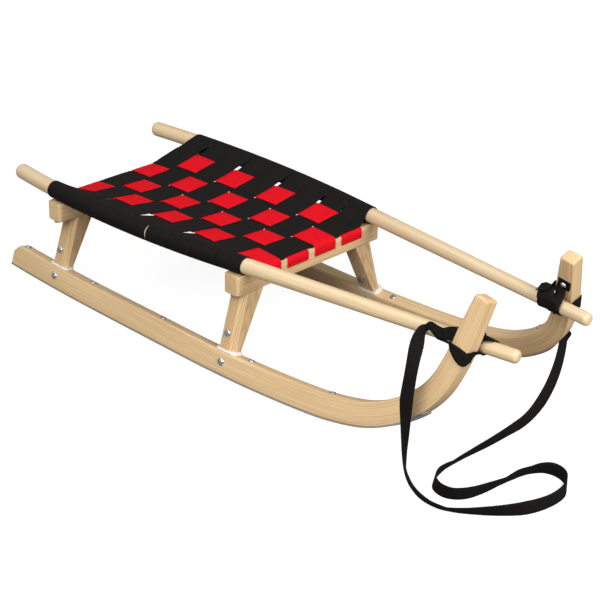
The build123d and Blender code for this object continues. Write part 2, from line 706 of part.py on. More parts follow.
# Rails
rear_x, front_x = RAIL_REAR_X + RAIL_REAR_DOME, RAIL_FRONT_X - RAIL_FRONT_DOME
rear, middle, join, tip = (
    rail_point(x, -1) for x in (rear_x, (rear_x + RAIL_JOIN_X) / 2, RAIL_JOIN_X, front_x)
)
with BuildPart() as rail:
    with BuildLine(mode=Mode.PRIVATE) as bow:
        ThreePointArc(rear, middle, join)
    arc = bow.edges()[0]
    with BuildSketch(Plane(origin=rear, z_dir=arc % 0)):
        Circle(RAIL_RADIUS)
    pole = (rear - arc.arc_center).cross(join - arc.arc_center).normalized()
    revolve(axis=Axis(arc.arc_center, pole), revolution_arc=degrees(arc.length / arc.radius))
    with BuildSketch(Plane(origin=join, z_dir=tip - join)):
        Circle(RAIL_RADIUS)
    with BuildSketch(Plane(origin=tip, z_dir=tip - join)):
        Circle(rail_radius(front_x))
    loft(ruled=True)
    tip_radius = rail_radius(front_x)
    ends = (
        {"end": rear, "out": (arc % 0) * -1, "radius": RAIL_RADIUS, "dome": RAIL_REAR_DOME},
        {"end": tip, "out": (tip - join).normalized(), "radius": tip_radius, "dome": RAIL_FRONT_DOME},
    )
    for row in ends:
        across = row["out"].cross(Vector(0, 0, 1)).normalized()
        dome_plane = Plane(origin=row["end"], x_dir=across, z_dir=across.cross(row["out"]))
        radius, dome = row["radius"], row["dome"]
        with BuildSketch(dome_plane):
            with BuildLine():
                Line((0, 0), (radius, 0))
                RadiusArc((radius, 0), (radius - dome, dome), -dome)
                Line((radius - dome, dome), (0, dome))
                Line((0, dome), (0, 0))
            make_face()
        revolve(axis=Axis(row["end"], row["out"]))
save(rail, "rail_right")
mirrored(rail, "rail_left")

# Cross straps, each woven over and under the long straps and wrapped round both rails
for row in range(1, ROW_COUNT + 1):
    with BuildPart() as cross_strap:
        for x in row_span(row):
            with BuildSketch(Plane(origin=(x, 0, 0), x_dir=(0, 1, 0), z_dir=(1, 0, 0))):
                with BuildLine():
                    add(cross_strap_outline(row, x))
                make_face()
        loft(ruled=True)
    save(cross_strap, f"cross_strap_{row}")

# Long straps, woven from the rear bar to the front bar
for column in COLUMNS:
    with BuildPart() as long_strap:
        for edge in (-COL_WIDTH / 2, COL_WIDTH / 2):
            edge_y = column["place"] * COL_PITCH + edge
            with BuildSketch(Plane(origin=(0, edge_y, 0), x_dir=(1, 0, 0), z_dir=(0, -1, 0))):
                with BuildLine():
                    add(long_strap_outline(column, edge))
                make_face()
        loft(ruled=True)
    save(long_strap, f"long_strap_{column['name']}")


# Side bolts with their heads outside and their nuts inside
with BuildPart() as side_bolts_right:
    for leg in LEGS:
        x = leg["foot_x"] + SIDE_BOLT_SHIFT
        rise = (BAR_TOP[leg["name"]] - BAR_HEIGHT - FLOOR_LIFT) / cos(LEAN) - FOOT_V
        widen = (LEG_TOP_WIDTH * cos(LEAN) - LEG_FOOT_WIDTH) / rise
        leg_in = LEG_INSET + LEG_FOOT_WIDTH + widen * (SIDE_BOLT_V[1] + SIDE_NUT_RADIUS - FOOT_V)
        seats = (
            {"v": SIDE_BOLT_V[0], "outer": 0.0, "inner": RUNNER_WIDTH},
            {"v": SIDE_BOLT_V[1], "outer": LEG_INSET, "inner": leg_in},
        )
        for seat in seats:
            with BuildSketch(side_plane(seat["outer"])):
                with Locations((x, seat["v"])):
                    Circle(SIDE_HEAD_RADIUS)
            extrude(amount=SIDE_HEAD_HEIGHT, taper=SIDE_HEAD_TAPER)
            with BuildSketch(side_plane(seat["outer"])):
                with Locations((x, seat["v"])):
                    Circle(SIDE_BOLT_RADIUS)
            extrude(amount=seat["outer"] - seat["inner"])
            with BuildSketch(side_plane(seat["inner"])):
                with Locations((x, seat["v"])):
                    Circle(SIDE_NUT_RADIUS)
            extrude(amount=-SIDE_NUT_HEIGHT)
save(side_bolts_right, "side_bolts_right")
mirrored(side_bolts_right, "side_bolts_left")

# Low nuts of the strip screws on the runner tops
with BuildPart() as strip_nuts_right:
    for x in TOP_BOLT_X:
        with BuildSketch(top_plane_at(x, -RUNNER_WIDTH / 2, SEAT_LIFT * 2)):
            Circle(TOP_NUT_RADIUS)
        extrude(amount=TOP_NUT_HEIGHT, taper=TOP_NUT_TAPER)
save(strip_nuts_right, "strip_nuts_right")
mirrored(strip_nuts_right, "strip_nuts_left")

# Rail bolts: nuts below the crossbars with their shanks in the bars
with BuildPart() as rail_bolts:
    for leg in LEGS:
        under = BAR_TOP[leg["name"]] - BAR_HEIGHT
        for side in (-1, 1):
            with BuildSketch(Plane(origin=(leg["bar_x"], side * rail_bolt_y(leg), under))):
                RegularPolygon(RAIL_NUT_FLATS / 2, 6, major_radius=False)
            extrude(amount=-RAIL_NUT_HEIGHT)
            with BuildSketch(Plane(origin=(leg["bar_x"], side * rail_bolt_y(leg), under))):
                Circle(RAIL_BOLT_RADIUS)
            extrude(amount=RAIL_BOLT_DEPTH - CLEAR)
save(rail_bolts, "rail_bolts")

# Lashings: a band round the horn with a tail up its inner face, and a band round the rail
for lashing in LASHINGS:
    band_x = lashing["band_x"]
    with BuildPart() as lashing_part:
        outer_loop = horn_loop(HORN_BAND_S, STRAP_WIDTH, CLEAR + STRAP_THICK)
        inner_loop = horn_loop(HORN_BAND_S, STRAP_WIDTH + 2 * BAND_OVERCUT, CLEAR)
        with BuildSketch(side_plane(-CLEAR - STRAP_THICK)):
            with BuildLine():
                Polyline(*outer_loop, close=True)
            make_face()
        extrude(amount=-(RUNNER_WIDTH + 2 * (CLEAR + STRAP_THICK)))
        with BuildSketch(side_plane(-CLEAR)):
            with BuildLine():
                Polyline(*inner_loop, close=True)
            make_face()
        extrude(amount=-(RUNNER_WIDTH + 2 * CLEAR), mode=Mode.SUBTRACT)
        with BuildSketch(side_plane(RUNNER_WIDTH + CLEAR)):
            with BuildLine():
                Polyline(*tail_outline(), close=True)
            make_face()
            with Locations(screw_spot()):
                Circle(SCREW_SHANK + BOLT_CLEAR, mode=Mode.SUBTRACT)
        extrude(amount=-STRAP_THICK)
        band_dir = rail_point(RAIL_FRONT_X, -1) - rail_point(band_x, -1)
        with BuildSketch(Plane(origin=rail_point(band_x, -1), z_dir=band_dir)):
            Circle(rail_radius(band_x) + CLEAR + STRAP_THICK)
            Circle(rail_radius(band_x) + CLEAR, mode=Mode.SUBTRACT)
        extrude(amount=STRAP_WIDTH / 2, both=True)
    if lashing["name"] == "right":
        save(lashing_part, "lashing_right")
    else:
        mirrored(lashing_part, "lashing_left")

# Screws that hold the lashing tails
with BuildPart() as lashing_screw_right:
    with BuildSketch(side_plane(RUNNER_WIDTH + CLEAR + STRAP_THICK)):
        with Locations(screw_spot()):
            Circle(SCREW_RADIUS)
    extrude(amount=-SCREW_HEIGHT, taper=SIDE_HEAD_TAPER)
    with BuildSketch(side_plane(RUNNER_WIDTH + CLEAR + STRAP_THICK)):
        with Locations(screw_spot()):
            Circle(SCREW_SHANK)
    extrude(amount=SCREW_DEPTH)
save(lashing_screw_right, "lashing_screw_right")
mirrored(lashing_screw_right, "lashing_screw_left")

# Tow strap: from the right lashing down to the floor, along its loops and up to the left horn
rise = radians(TOW_RISE)
leave = Vector(RAIL_SLOPE, -1, 0).normalized() * cos(rise) + Vector(0, 0, sin(rise))
tow_start = rail_point(TOW_X, -1) + leave * (rail_radius(TOW_X) + CLEAR + STRAP_THICK + CLEAR)
horn_x, horn_v = offset_station(horn_station(HORN_BAND_S)[0], BEND_DEPTH / 2)
tow_ends = []
for w in (TOW_FIRST, CLEAR + STRAP_THICK + CLEAR):
    x, y, z = side_point(horn_x, horn_v, w)
    tow_ends.append((x, -y, z))
tow_loops = [(x, y * TOW_SPREAD, z) for x, y, z in TOW_LOOPS]
TOW_ROUTE = [tuple(tow_start), tuple(tow_start + leave * TOW_FIRST), *tow_loops, *tow_ends]
radii = []
for before, corner, after in zip(TOW_ROUTE, TOW_ROUTE[1:], TOW_ROUTE[2:]):
    run_in = Vector(*corner) - Vector(*before)
    run_out = Vector(*after) - Vector(*corner)
    turn = radians(run_in.get_angle(run_out))
    reach = TOW_SHARE * min(run_in.length, run_out.length)
    radii.append(min(TOW_RADIUS_LIMIT, reach / tan(turn / 2)))
with BuildPart() as tow_strap:
    with BuildLine() as tow_line:
        FilletPolyline(*TOW_ROUTE, radius=radii)
    with BuildSketch(Plane(origin=tow_line.line @ 0, z_dir=tow_line.line % 0)):
        Circle(STRAP_WIDTH / 2)
    sweep(path=tow_line.line)
save(tow_strap, "tow_strap")
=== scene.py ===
"""Looks of a two-seat touring sled: bent ash runners and rails, woven webbing seat, lashings and a flat
tow strap, laid out as an add-on whose operators build one group of like pieces each."""
from functools import partial

import bpy
import numpy as np
from bpy.props import FloatProperty, FloatVectorProperty, PointerProperty
from mathutils import Matrix


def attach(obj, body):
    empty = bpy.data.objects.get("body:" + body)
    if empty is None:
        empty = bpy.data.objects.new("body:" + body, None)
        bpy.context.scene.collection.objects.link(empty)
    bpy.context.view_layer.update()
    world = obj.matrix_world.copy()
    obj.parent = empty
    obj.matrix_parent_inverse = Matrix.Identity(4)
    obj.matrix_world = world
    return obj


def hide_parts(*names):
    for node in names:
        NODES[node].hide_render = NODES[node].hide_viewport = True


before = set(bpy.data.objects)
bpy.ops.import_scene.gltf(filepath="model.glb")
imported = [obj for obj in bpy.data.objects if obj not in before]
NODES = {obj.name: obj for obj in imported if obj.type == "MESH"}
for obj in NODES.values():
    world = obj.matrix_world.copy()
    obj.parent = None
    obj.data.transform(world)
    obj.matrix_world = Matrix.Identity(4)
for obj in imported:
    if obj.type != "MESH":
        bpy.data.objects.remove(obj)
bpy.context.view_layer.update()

bl_info = {
    "name": "Touring sled looks",
    "version": (1, 0, 0),
    "blender": (4, 5, 0),
    "location": "View3D > Sidebar > Sled",
    "description": "Builds the visible pieces of a two-seat touring sled around its packed frame",
    "category": "Object",
}

MM = 0.001
SIDES = ((-1, "right"), (1, "left"))

# Side frames, in millimetres: the plane of each runner leans inwards
LEAN = np.arctan(0.29)
RUNNER_WIDTH = 25.0
TRACK_OUTER = 199.0
STRIP_THICK = 2.5
RUNNER_DEPTH = 42.0
FLOOR_LIFT = RUNNER_WIDTH * np.sin(LEAN)
RUNNER_REAR = -548.0
FLAT_REAR = -300.0
FLAT_FRONT = -62.0
ROCKER_REAR_RADIUS = 5200.0
# Radius and turn, in degrees, of each bend, and the first bend along which the runner grows thinner
BEND_ARCS = ((3270.0, 5.0), (627.0, 9.0), (267.0, 30.0), (164.0, 27.0), (405.0, 11.0))
TAPER_FROM = 2
HORN_STRAIGHT = 64.0
HORN_DEPTH = 29.0
BEND_DEPTH = 36.0
REAR_CHAMFER = 13.0
REAR_BEVEL = 0.8    # small bevel round the rear end face
TOP_EDGE = 4.5
LOW_EDGE = 1.2
EDGE_LEAST = 0.6    # corner radius that is left where an end draws in
EDGE_LOSS = 0.3     # corner radius lost for each millimetre drawn in
TIP_CLOSE = 0.98    # share of the horn rounding by which the end face draws in

# Rails
RAIL_RADIUS = 14.0
RAIL_TIP_RADIUS = 10.8
RAIL_REAR_X = -549.5
RAIL_JOIN_X = -30.0
RAIL_FRONT_X = 549.5
RAIL_JOIN_Y = TRACK_OUTER - 38.2
RAIL_SLOPE = 0.128
RAIL_BOW = 2110.0
RAIL_Z = 198.1
RAIL_RISE = 0.0105
RAIL_CANT = 0.059
RAIL_REAR_DOME = 9.0
RAIL_FRONT_DOME = 7.0
RAIL_END_INSET = 0.01    # end faces inside the full length

# Seat weave: ROW_SPAN is the width of the solids, and the rows are drawn ROW_WIDTH wide
CLEAR = 0.3
WEB_THICK = 1.8
WEB_STEP = WEB_THICK + CLEAR
ROW_COUNT = 9
ROW_PITCH = 53.0
ROW_SPAN = 49.0
ROW_WIDTH = 52.7
ROW_PINCH = (1.6, 133.0, 14.0)   # drawn-in edge of every row beside the rails: depth, place across, reach
FLAP_DRAW = 4.0                  # drawn-in edge of the flaps below the rails
FLAP_STATIONS = (8, 15)          # stations from a strap's end over which that fades
ROW_PARTING = {4: (3.2, -190.0, 14.0)}   # rear edge drawn forward on the right rail: depth, place, reach
ROW_TUCK = 3.4
TUCK_BELL = 6.0
TUCK_FADE = 3.0
ROW_MIDDLE_X = -197.0
COL_WIDTH = 50.0
COL_PITCH = 0.408 * RAIL_JOIN_Y
COLUMNS = (
    {"name": "a", "y": -1.5 * COL_PITCH, "over_odd": True, "lift": 13.3, "slope": -0.16},
    {"name": "b", "y": -0.5 * COL_PITCH, "over_odd": False, "lift": 5.75, "slope": -0.06},
    {"name": "c", "y": 0.5 * COL_PITCH, "over_odd": True, "lift": 5.75, "slope": 0.06},
    {"name": "d", "y": 1.5 * COL_PITCH, "over_odd": False, "lift": 13.3, "slope": 0.16},
)
REAR_HANG = {"a": (2.4, 0.0), "b": (2.4, 0.0), "c": (2.4, 0.0), "d": (12.7, 0.25)}
FRONT_HANG = (2.4, 0.0)
FRONT_TURN = 6.0    # where a long strap starts its turn over the front bar, behind the seat's front edge
HEM_DROP = 16.5
HEM_BEND = 7.0
HEM_BEND_SHARE = 0.9    # most of the way to the bar face that the turn may take
FLAP_INSET = 7.0    # end of a flap, from the outer long strap
FLAP_JOINT = 0.6    # share of the way from there to the rail where the flap meets the strap
WEAVE_FLAT = 20.0
SEAT_SMOOTH = 15    # windows, in stations, that smooth a cross strap's height and its weave
WEAVE_SMOOTH = 9
# Lines across a strap, as shares of half its width, and their thickness as a share of the full one
EDGE_PLACES = np.array([-1, -0.96, -0.8, -0.4, 0, 0.4, 0.8, 0.96, 1])
EDGE_TAU = np.array([0.35, 0.95, 1, 1, 1, 1, 1, 0.95, 0.35])

# Crossbars
BAR_X = {"rear": -416.0, "front": 25.0}
BAR_DEPTH = 34.0
BAR_HEIGHT = 34.0
BAR_EDGE = 1.8
BAR_END_ROUND = 6.0
BAR_HALF = {"rear": TRACK_OUTER - 7.0, "front": TRACK_OUTER - 27.5}

# Domed heads: places on the runner and the leg (x, up the lean, outward) and of the tail screw on the horn
LEG_FOOT_X = {"rear": -420.0, "front": 26.0}
SIDE_BOLT_SHIFT = -2.0
SIDE_BOLT_PLACES = ((25.0, 0.0), (75.0, -2.0))
SIDE_DOME = (7.1, 3.7)
TAIL_SCREW = (52.0, 18.0, -26.9)
SCREW_DOME = (5.5, 3.6)
DOME_POWER = 2.4
DOME_POLE = 0.02    # least share of a dome's radius, at its pole

# Tow strap and lashings
STRAP_WIDTH = 25.0
STRAP_THICK = 1.6
FLOOR_GAP = 0.2
TOW_Z = STRAP_WIDTH / 2 + FLOOR_GAP
TOW_LYING = TOW_Z + 1.0    # the strap lies on the floor where its route is lower than this
PLACE_STEP = 1e-6          # hair added from one route point to the next, which keeps their order
# Places across a flat band, as shares of half its width, and their thickness as a share of the full one
RIBBON_PLACES = np.array([-1, -0.95, -0.5, 0, 0.5, 0.95, 1])
RIBBON_TAU = np.array([0.35, 1, 1, 1, 1, 1, 0.35])

# Stations of the meshes
REAR_STATIONS = 26
CHAMFER_STATIONS = 8
FLAT_STATIONS = 12
BEND_STATIONS = 8
BEND_STATIONS_PER_DEGREE = 1.2
HORN_STATIONS = 14
TIP_STATIONS = 6
CORNER_STATIONS = 5
END_STATIONS = 9
RAIL_STATIONS = 90
RAIL_SIDES = 40
ROW_STATIONS = 181
WRAP_STATIONS = 26
OVER_STATIONS = 9
FLAP_SPAN_STATIONS = 5
COL_STATIONS = 301
HEM_STATIONS = 7
BAND_STATIONS = 140
BAR_STATIONS = 40
DOME_SIDES = 28
ROUTE_STEPS = 12

# Ash grain: noise scales along and across the fibre, per metre, each with its detail
WANDER = ((2.2, 30, 30), 2.0)
STREAK = ((5, 460, 460), 4.0)
FIBRE = ((16, 1500, 1500), 2.0)
DRIFT = ((1.4, 22, 22), 1.0)
BAND_RATE = 900.0      # growth bands, radians per metre across the fibre
BAND_SKEW = 0.35       # slant of the flat bands
RING_RATE = 560.0      # rings, radians per metre from their heart
HEART_TILT = 0.15      # slope of the rings' heart along the fibre
HEART_DEPTH = 0.035    # heart behind the piece's middle, in metres
WANDER_PHASE = 14.0    # radians that the bands wander
BAND_SHARP = 6.0
BAND_SHARE = 0.36
PORE_FROM = 0.58       # fibre noise above which a pore shows
PORE_SHARE = 0.3
STREAK_MIDDLE = 0.36
STREAK_GAIN = 1.5
DRIFT_GAIN = 1.2
DRIFT_LOSS = -0.48
BAND_DENT = 0.5
WOOD_ROUGH = (0.18, 0.30)    # gain on the fibre noise, and least roughness
WOOD_BUMP = (0.25, 0.0002)   # strength, and distance in metres
WOOD_COAT = 0.12
WOOD_COAT_ROUGH = 0.25
# Shifts of the grain, in millimetres along and across, that part the two sides
RUNNER_GRAIN_SHIFT = (300, 7)
RAIL_GRAIN_SHIFT = (700, 11)

# Webbing, in metres, and as shares of the thread's colour the painted shade in the grooves between threads
# and the stitches
RIB_PITCH = 0.0022
PICK_PITCH = 0.0016
PICK_OFFSET = 1.57     # radians by which picks move on or back, by turns, from rib to rib
RIB_HEIGHT = 0.6
PICK_HEIGHT = 0.25
FUZZ = (60.0, 4.0)
FUZZ_SHARE = 0.5
HEIGHT_SHARE = 0.7
WEB_ROUGH = (0.25, 0.55)
WEB_BUMP = (0.5, 0.0004)
WEB_SPECULAR = 0.06
# shares of the thread's colour that are painted as shade in the low grooves between the threads
CROSS_SHADE = 0.45
LONG_SHADE = 0.7
STRAP_SHADE = 0.5
STITCH_SHADE = 0.3
STITCH_INSET = 0.0055
STITCH_WIDTH = 0.0014
STITCH_PITCH = 0.0062
STITCH_GAP = -0.45     # sine of the stitch wave below which the thread is hidden

# Steel and plastic: noise scale and detail, colours and roughness
STEEL_SCUFF = (900.0, 2.0)
SCUFF_DARK = 0.75
SCUFF_STOPS = (0.35, 0.65)
SCUFF_ROUGH = 0.2
STRIP_STEEL = ((0.62, 0.61, 0.59), 0.34)
FASTENER_STEEL = ((0.50, 0.50, 0.51), 0.20)
PAD_MOULD = (1200.0, 2.0)
PAD_STOPS = ((0.3, (0.87, 0.85, 0.81)), (0.7, (0.89, 0.87, 0.83)))
PAD_BUMP = (0.05, 0.0002)
PAD_ROUGH = 0.7

# Studio, in metres: lamps as name, place, size and watts
FLOOR_HALF = 9
FLOOR_BOUNCE = (0.24, 0.23, 0.22, 1)
FLOOR_SHADE = (0.2, 0.2, 0.2, 1)
FLOOR_GLOW = 0.91
WORLD_LIGHT = 0.17
WORLD_SEEN = 0.83
WORLD_MIRRORED = 0.30
LAMPS = (
    ("key", (1.0, -2.7, 2.4), 2.2, 101),
    ("fill", (2.9, 0.0, 2.0), 2.0, 98),
    ("back", (-1.6, -0.8, 3.2), 2.0, 26),
)
LAMP_AIM = (0.1, 0, 0.1)
SENSOR_WIDTH = 36


def quarter(count):
    """Angles over a quarter turn."""
    return np.linspace(0, np.pi / 2, count)


def full_turn(count):
    """Angles round a full turn, without its end."""
    return np.linspace(0, 2 * np.pi, count, endpoint=False)


def bell(off, reach):
    """Bell of height one that falls with the square of the distance over its reach."""
    return np.exp(-(off / reach) ** 2)


def unit(v):
    """Vectors scaled to length one."""
    return v / np.maximum(np.linalg.norm(v, axis=-1, keepdims=True), 1e-12)


def run_length(points):
    """Length along a line of points up to each of them."""
    return np.concatenate([[0.0], np.cumsum(np.linalg.norm(np.diff(points, axis=0), axis=1))])


def smooth(values, width):
    """Values smoothed by a short raised-cosine window, ends held."""
    window = np.hanning(width + 2)[1:-1]
    window /= window.sum()
    half = width // 2
    padded = np.concatenate([np.repeat(values[:1], half), values, np.repeat(values[-1:], half)])
    return np.convolve(padded, window, "valid")


def through(points, count):
    """Smooth line through a few points: Catmull-Rom spans, sampled evenly by span."""
    p = np.asarray(points, float)
    p = np.concatenate([2 * p[:1] - p[1:2], p, 2 * p[-1:] - p[-2:-1]])
    spans = len(p) - 3
    u = np.linspace(0, spans, count)
    k = np.minimum(u.astype(int), spans - 1)
    t = (u - k)[:, None]
    a, b, c, d = p[k], p[k + 1], p[k + 2], p[k + 3]
    square = 2 * a - 5 * b + 4 * c - d
    cube = 3 * b - a - 3 * c + d
    return 0.5 * (2 * b + (c - a) * t + square * t ** 2 + cube * t ** 3)


def rear_rows(x):
    """Rows (x, v, slope, depth) of the rear rocker: a parabola of the rocker's radius, level at the
    flat."""
    ahead = x - FLAT_REAR
    depth = np.full_like(x, RUNNER_DEPTH)
    return np.stack([x, ahead ** 2 / (2 * ROCKER_REAR_RADIUS), ahead / ROCKER_REAR_RADIUS, depth], 1)


def arc_stations():
    """Line under the strip as rows of x, v, slope and runner depth, from the rear rocker, along the flat
    and through the tangent arcs: x grows by R (sin b - sin a), v by R (cos a - cos b) from slope a to
    b."""
    pieces = [rear_rows(np.linspace(RUNNER_REAR, FLAT_REAR, REAR_STATIONS))]
    x = np.linspace(FLAT_REAR, FLAT_FRONT, FLAT_STATIONS)[1:]
    pieces.append(np.stack([x, 0 * x, 0 * x, np.full_like(x, RUNNER_DEPTH)], 1))
    px, pv, a = FLAT_FRONT, 0.0, 0.0
    for index, (radius, turn) in enumerate(BEND_ARCS):
        count = BEND_STATIONS + int(turn * BEND_STATIONS_PER_DEGREE)
        b = np.linspace(a, a + np.radians(turn), count)[1:]
        share = (index - TAPER_FROM + (b - a) / np.radians(turn)) / (len(BEND_ARCS) - TAPER_FROM)
        depth = RUNNER_DEPTH + (BEND_DEPTH - RUNNER_DEPTH) * np.clip(share, 0, 1)
        xs = px + radius * (np.sin(b) - np.sin(a))
        vs = pv + radius * (np.cos(a) - np.cos(b))
        pieces.append(np.stack([xs, vs, b, depth], 1))
        px, pv, a = xs[-1], vs[-1], b[-1]
    t = np.linspace(0, 1, HORN_STATIONS)[1:]
    pieces.append(np.stack([px + HORN_STRAIGHT * t * np.cos(a), pv + HORN_STRAIGHT * t * np.sin(a),
                            np.full_like(t, a), BEND_DEPTH + (HORN_DEPTH - BEND_DEPTH) * t], 1))
    return np.concatenate(pieces)


def side_points(x, v, w, side):
    """World points of side-frame coordinates: forward, up the lean and outwards; side -1 right, +1 left."""
    y = TRACK_OUTER + w * np.cos(LEAN) - v * np.sin(LEAN)
    z = FLOOR_LIFT + w * np.sin(LEAN) + v * np.cos(LEAN)
    return np.stack(np.broadcast_arrays(x, side * y, z), -1)


def rail_y(x):
    """Distance of a rail centre from the middle plane: straight taper in front, arc behind."""
    x = np.asarray(x, float)
    lead = RAIL_BOW * np.sin(np.arctan(RAIL_SLOPE))
    back = np.maximum(RAIL_JOIN_X - x, 0)
    bow = RAIL_JOIN_Y + np.sqrt(RAIL_BOW ** 2 - (back - lead) ** 2) - np.sqrt(RAIL_BOW ** 2 - lead ** 2)
    return np.where(x >= RAIL_JOIN_X, RAIL_JOIN_Y - RAIL_SLOPE * (x - RAIL_JOIN_X), bow)


def rail_z(x):
    """Height of a rail centre in its tilted plane."""
    return RAIL_Z + RAIL_RISE * (np.asarray(x, float) - RAIL_JOIN_X) + RAIL_CANT * (RAIL_JOIN_Y - rail_y(x))


def rail_radius(x):
    """Radius of a rail: constant behind the join, tapering in front."""
    share = np.clip((np.asarray(x, float) - RAIL_JOIN_X) / (RAIL_FRONT_X - RAIL_JOIN_X), 0, 1)
    return RAIL_RADIUS + (RAIL_TIP_RADIUS - RAIL_RADIUS) * share


BAR_TOP = {k: float(rail_z(x) - rail_radius(x)) - WEB_THICK - 2 * CLEAR for k, x in BAR_X.items()}
BAR_LINE_SLOPE = (BAR_TOP["front"] - BAR_TOP["rear"]) / (BAR_X["front"] - BAR_X["rear"])


def row_middle(row):
    """Place of one cross strap's middle line; row 1 is the front row."""
    return ROW_MIDDLE_X + ROW_PITCH * ((ROW_COUNT + 1) / 2 - row)


SEAT_REAR = row_middle(ROW_COUNT) - ROW_SPAN / 2
SEAT_FRONT = row_middle(1) + ROW_SPAN / 2


def seat_shape(column, x):
    """Middle height and cross slope of the weave at one long strap: the bar line plus a lift, both going
    from their values at the ends to the strap's own in the middle as one less the fourth power of the
    reach."""
    reach = (x - (SEAT_REAR + SEAT_FRONT) / 2) / ((SEAT_FRONT - SEAT_REAR) / 2)
    bulge = np.maximum(0.0, 1 - reach ** 4)
    base = BAR_TOP["front"] + BAR_LINE_SLOPE * (x - BAR_X["front"])
    end_lift, end_slope = (np.where(reach < 0, rear, front)
                           for rear, front in zip(REAR_HANG[column["name"]], FRONT_HANG))
    lift = end_lift + (column["lift"] - end_lift) * bulge
    return base + lift, end_slope + (column["slope"] - end_slope) * bulge


def red_over(column, row):
    """True where a long strap passes over a cross strap."""
    return (row % 2 == 1) == column["over_odd"]


def weave_step(column, x):
    """Height of a long strap's middle above the seat surface at x: half a step up or down on each row,
    turned smoothly at the gaps between rows."""
    rows = np.arange(ROW_COUNT, 0, -1)
    sign = np.array([1.0 if red_over(column, row) else -1.0 for row in rows])
    places = (row_middle(rows)[:, None] + [[-WEAVE_FLAT, WEAVE_FLAT]]).ravel()
    turn = np.interp(x, places, np.repeat(sign, 2))
    return WEB_STEP / 2 * np.sin(turn * np.pi / 2)


def ring_faces(n, m, flip):
    """Faces of n rings of m points, quads between rings and one face on each end. Gives the ring and the
    point of each quad's corners, where the point past the last stands for the first, then the quads and
    the ends."""
    i, j = np.meshgrid(np.arange(n - 1), np.arange(m), indexing="ij")
    ring = np.stack([i, i, i + 1, i + 1], -1).reshape(-1, 4)
    point = np.stack([j, j + 1, j + 1, j], -1).reshape(-1, 4)
    ends = np.stack([np.arange(m)[::-1], (n - 1) * m + np.arange(m)])
    if flip:
        ring, point, ends = ring[:, ::-1], point[:, ::-1], ends[:, ::-1]
    return ring, point, ring * m + point % m, ends


def tube_mesh(name, rings, flip=False):
    """Closed mesh of rings (stations, points round, xyz in mm), quads between rings and one face on each
    end. A UV map holds the run along the tube and the run round it, in metres."""
    n, m = rings.shape[:2]
    ring, point, quads, ends = ring_faces(n, m, flip)
    mesh = bpy.data.meshes.new(name)
    mesh.from_pydata((rings.reshape(-1, 3) * MM).tolist(), [], quads.tolist() + ends.tolist())
    along = run_length(rings.mean(1)) * MM
    around = run_length(rings[n // 2][np.r_[0:m, 0]]) * MM
    uv = np.stack([along[ring], around[point]], -1).reshape(-1, 2)
    cap = np.stack([np.repeat(along[[0, -1]], m), np.tile(around[:m], 2)], -1)
    layer = mesh.uv_layers.new(name="run")
    layer.data.foreach_set("uv", np.concatenate([uv, cap]).astype(np.float32).ravel())
    return mesh


def add_vector(mesh, name, *parts):
    """Stores one vector for each vertex as a named attribute, in metres, from arrays of its x, y and z."""
    values = np.stack(np.broadcast_arrays(*parts), -1)
    attribute = mesh.attributes.new(name, "FLOAT_VECTOR", "POINT")
    attribute.data.foreach_set("vector", (values * MM).astype(np.float32).ravel())


def ribbon_rings(centres, normals, width, thick):
    """Rings of a flat band: the profile is a thin rounded rectangle, its width across the run (run x
    normal) and its thickness along the normal; edges taper to a third of the thickness."""
    tangent = unit(np.gradient(centres, axis=0))
    normals = unit(normals - (normals * tangent).sum(1, keepdims=True) * tangent)
    across = np.cross(tangent, normals)
    out = np.concatenate([RIBBON_PLACES, RIBBON_PLACES[::-1]]) * width / 2
    rise = np.concatenate([RIBBON_TAU, -RIBBON_TAU[::-1]]) * thick / 2
    return centres[:, None] + out[..., None] * across[:, None] + rise[None, :, None] * normals[:, None]


def sheet_rings(lines, thick):
    """Rings of a strap whose lines (edges across, stations along, xyz) are set off both ways along the
    surface normal, by half the thickness that each line has."""
    normal = unit(np.cross(np.gradient(lines, axis=1), np.gradient(lines, axis=0)))
    offset = normal * (thick / 2 * EDGE_TAU)[:, None, None]
    return np.concatenate([lines + offset, (lines - offset)[::-1]]).transpose(1, 0, 2)


def feed(tree, item, inputs):
    """Gives a node's inputs, by name or place, their values or links."""
    for key, value in inputs.items():
        if isinstance(value, bpy.types.NodeSocket):
            tree.links.new(value, item.inputs[key])
        else:
            item.inputs[key].default_value = value


def node(tree, kind, inputs=None, **settings):
    """Adds a node with its settings and inputs."""
    item = tree.nodes.new(kind)
    for key, value in settings.items():
        setattr(item, key, value)
    feed(tree, item, inputs or {})
    return item


def math_node(tree, operation, *values):
    """Result of a Math node of up to three values or links."""
    return node(tree, "ShaderNodeMath", dict(enumerate(values)), operation=operation).outputs[0]


def mix_colour(tree, share, first, second):
    """Colour between two; the Mix node's colours are its inputs 6 and 7 and its output 2."""
    return node(tree, "ShaderNodeMix", {0: share, 6: first, 7: second}, data_type="RGBA").outputs[2]


def ramp(tree, value, stops):
    """Colour ramp between two stops of (place, colour)."""
    item = node(tree, "ShaderNodeValToRGB", {0: value})
    for element, (place, colour) in zip(item.color_ramp.elements, stops):
        element.position = place
        element.color = (*colour, 1)
    return item.outputs[0]


def noise(tree, vector, scale, detail):
    """Noise on a coordinate."""
    return node(tree, "ShaderNodeTexNoise", {"Vector": vector, "Scale": scale, "Detail": detail}).outputs[0]


def stretched_noise(tree, vector, scale, detail):
    """Noise on a coordinate stretched by a scale for each axis."""
    place = node(tree, "ShaderNodeMapping", {"Vector": vector, "Scale": scale})
    return noise(tree, place.outputs[0], 1.0, detail)


def bump(tree, height, strength, distance):
    """Normal of a height."""
    inputs = {"Height": height, "Strength": strength, "Distance": distance}
    return node(tree, "ShaderNodeBump", inputs).outputs[0]


def object_place(tree):
    """Object coordinates."""
    return node(tree, "ShaderNodeTexCoord").outputs["Object"]


def axis_values(tree, vector):
    """The x, y and z of a coordinate."""
    return node(tree, "ShaderNodeSeparateXYZ", {0: vector}).outputs[:]


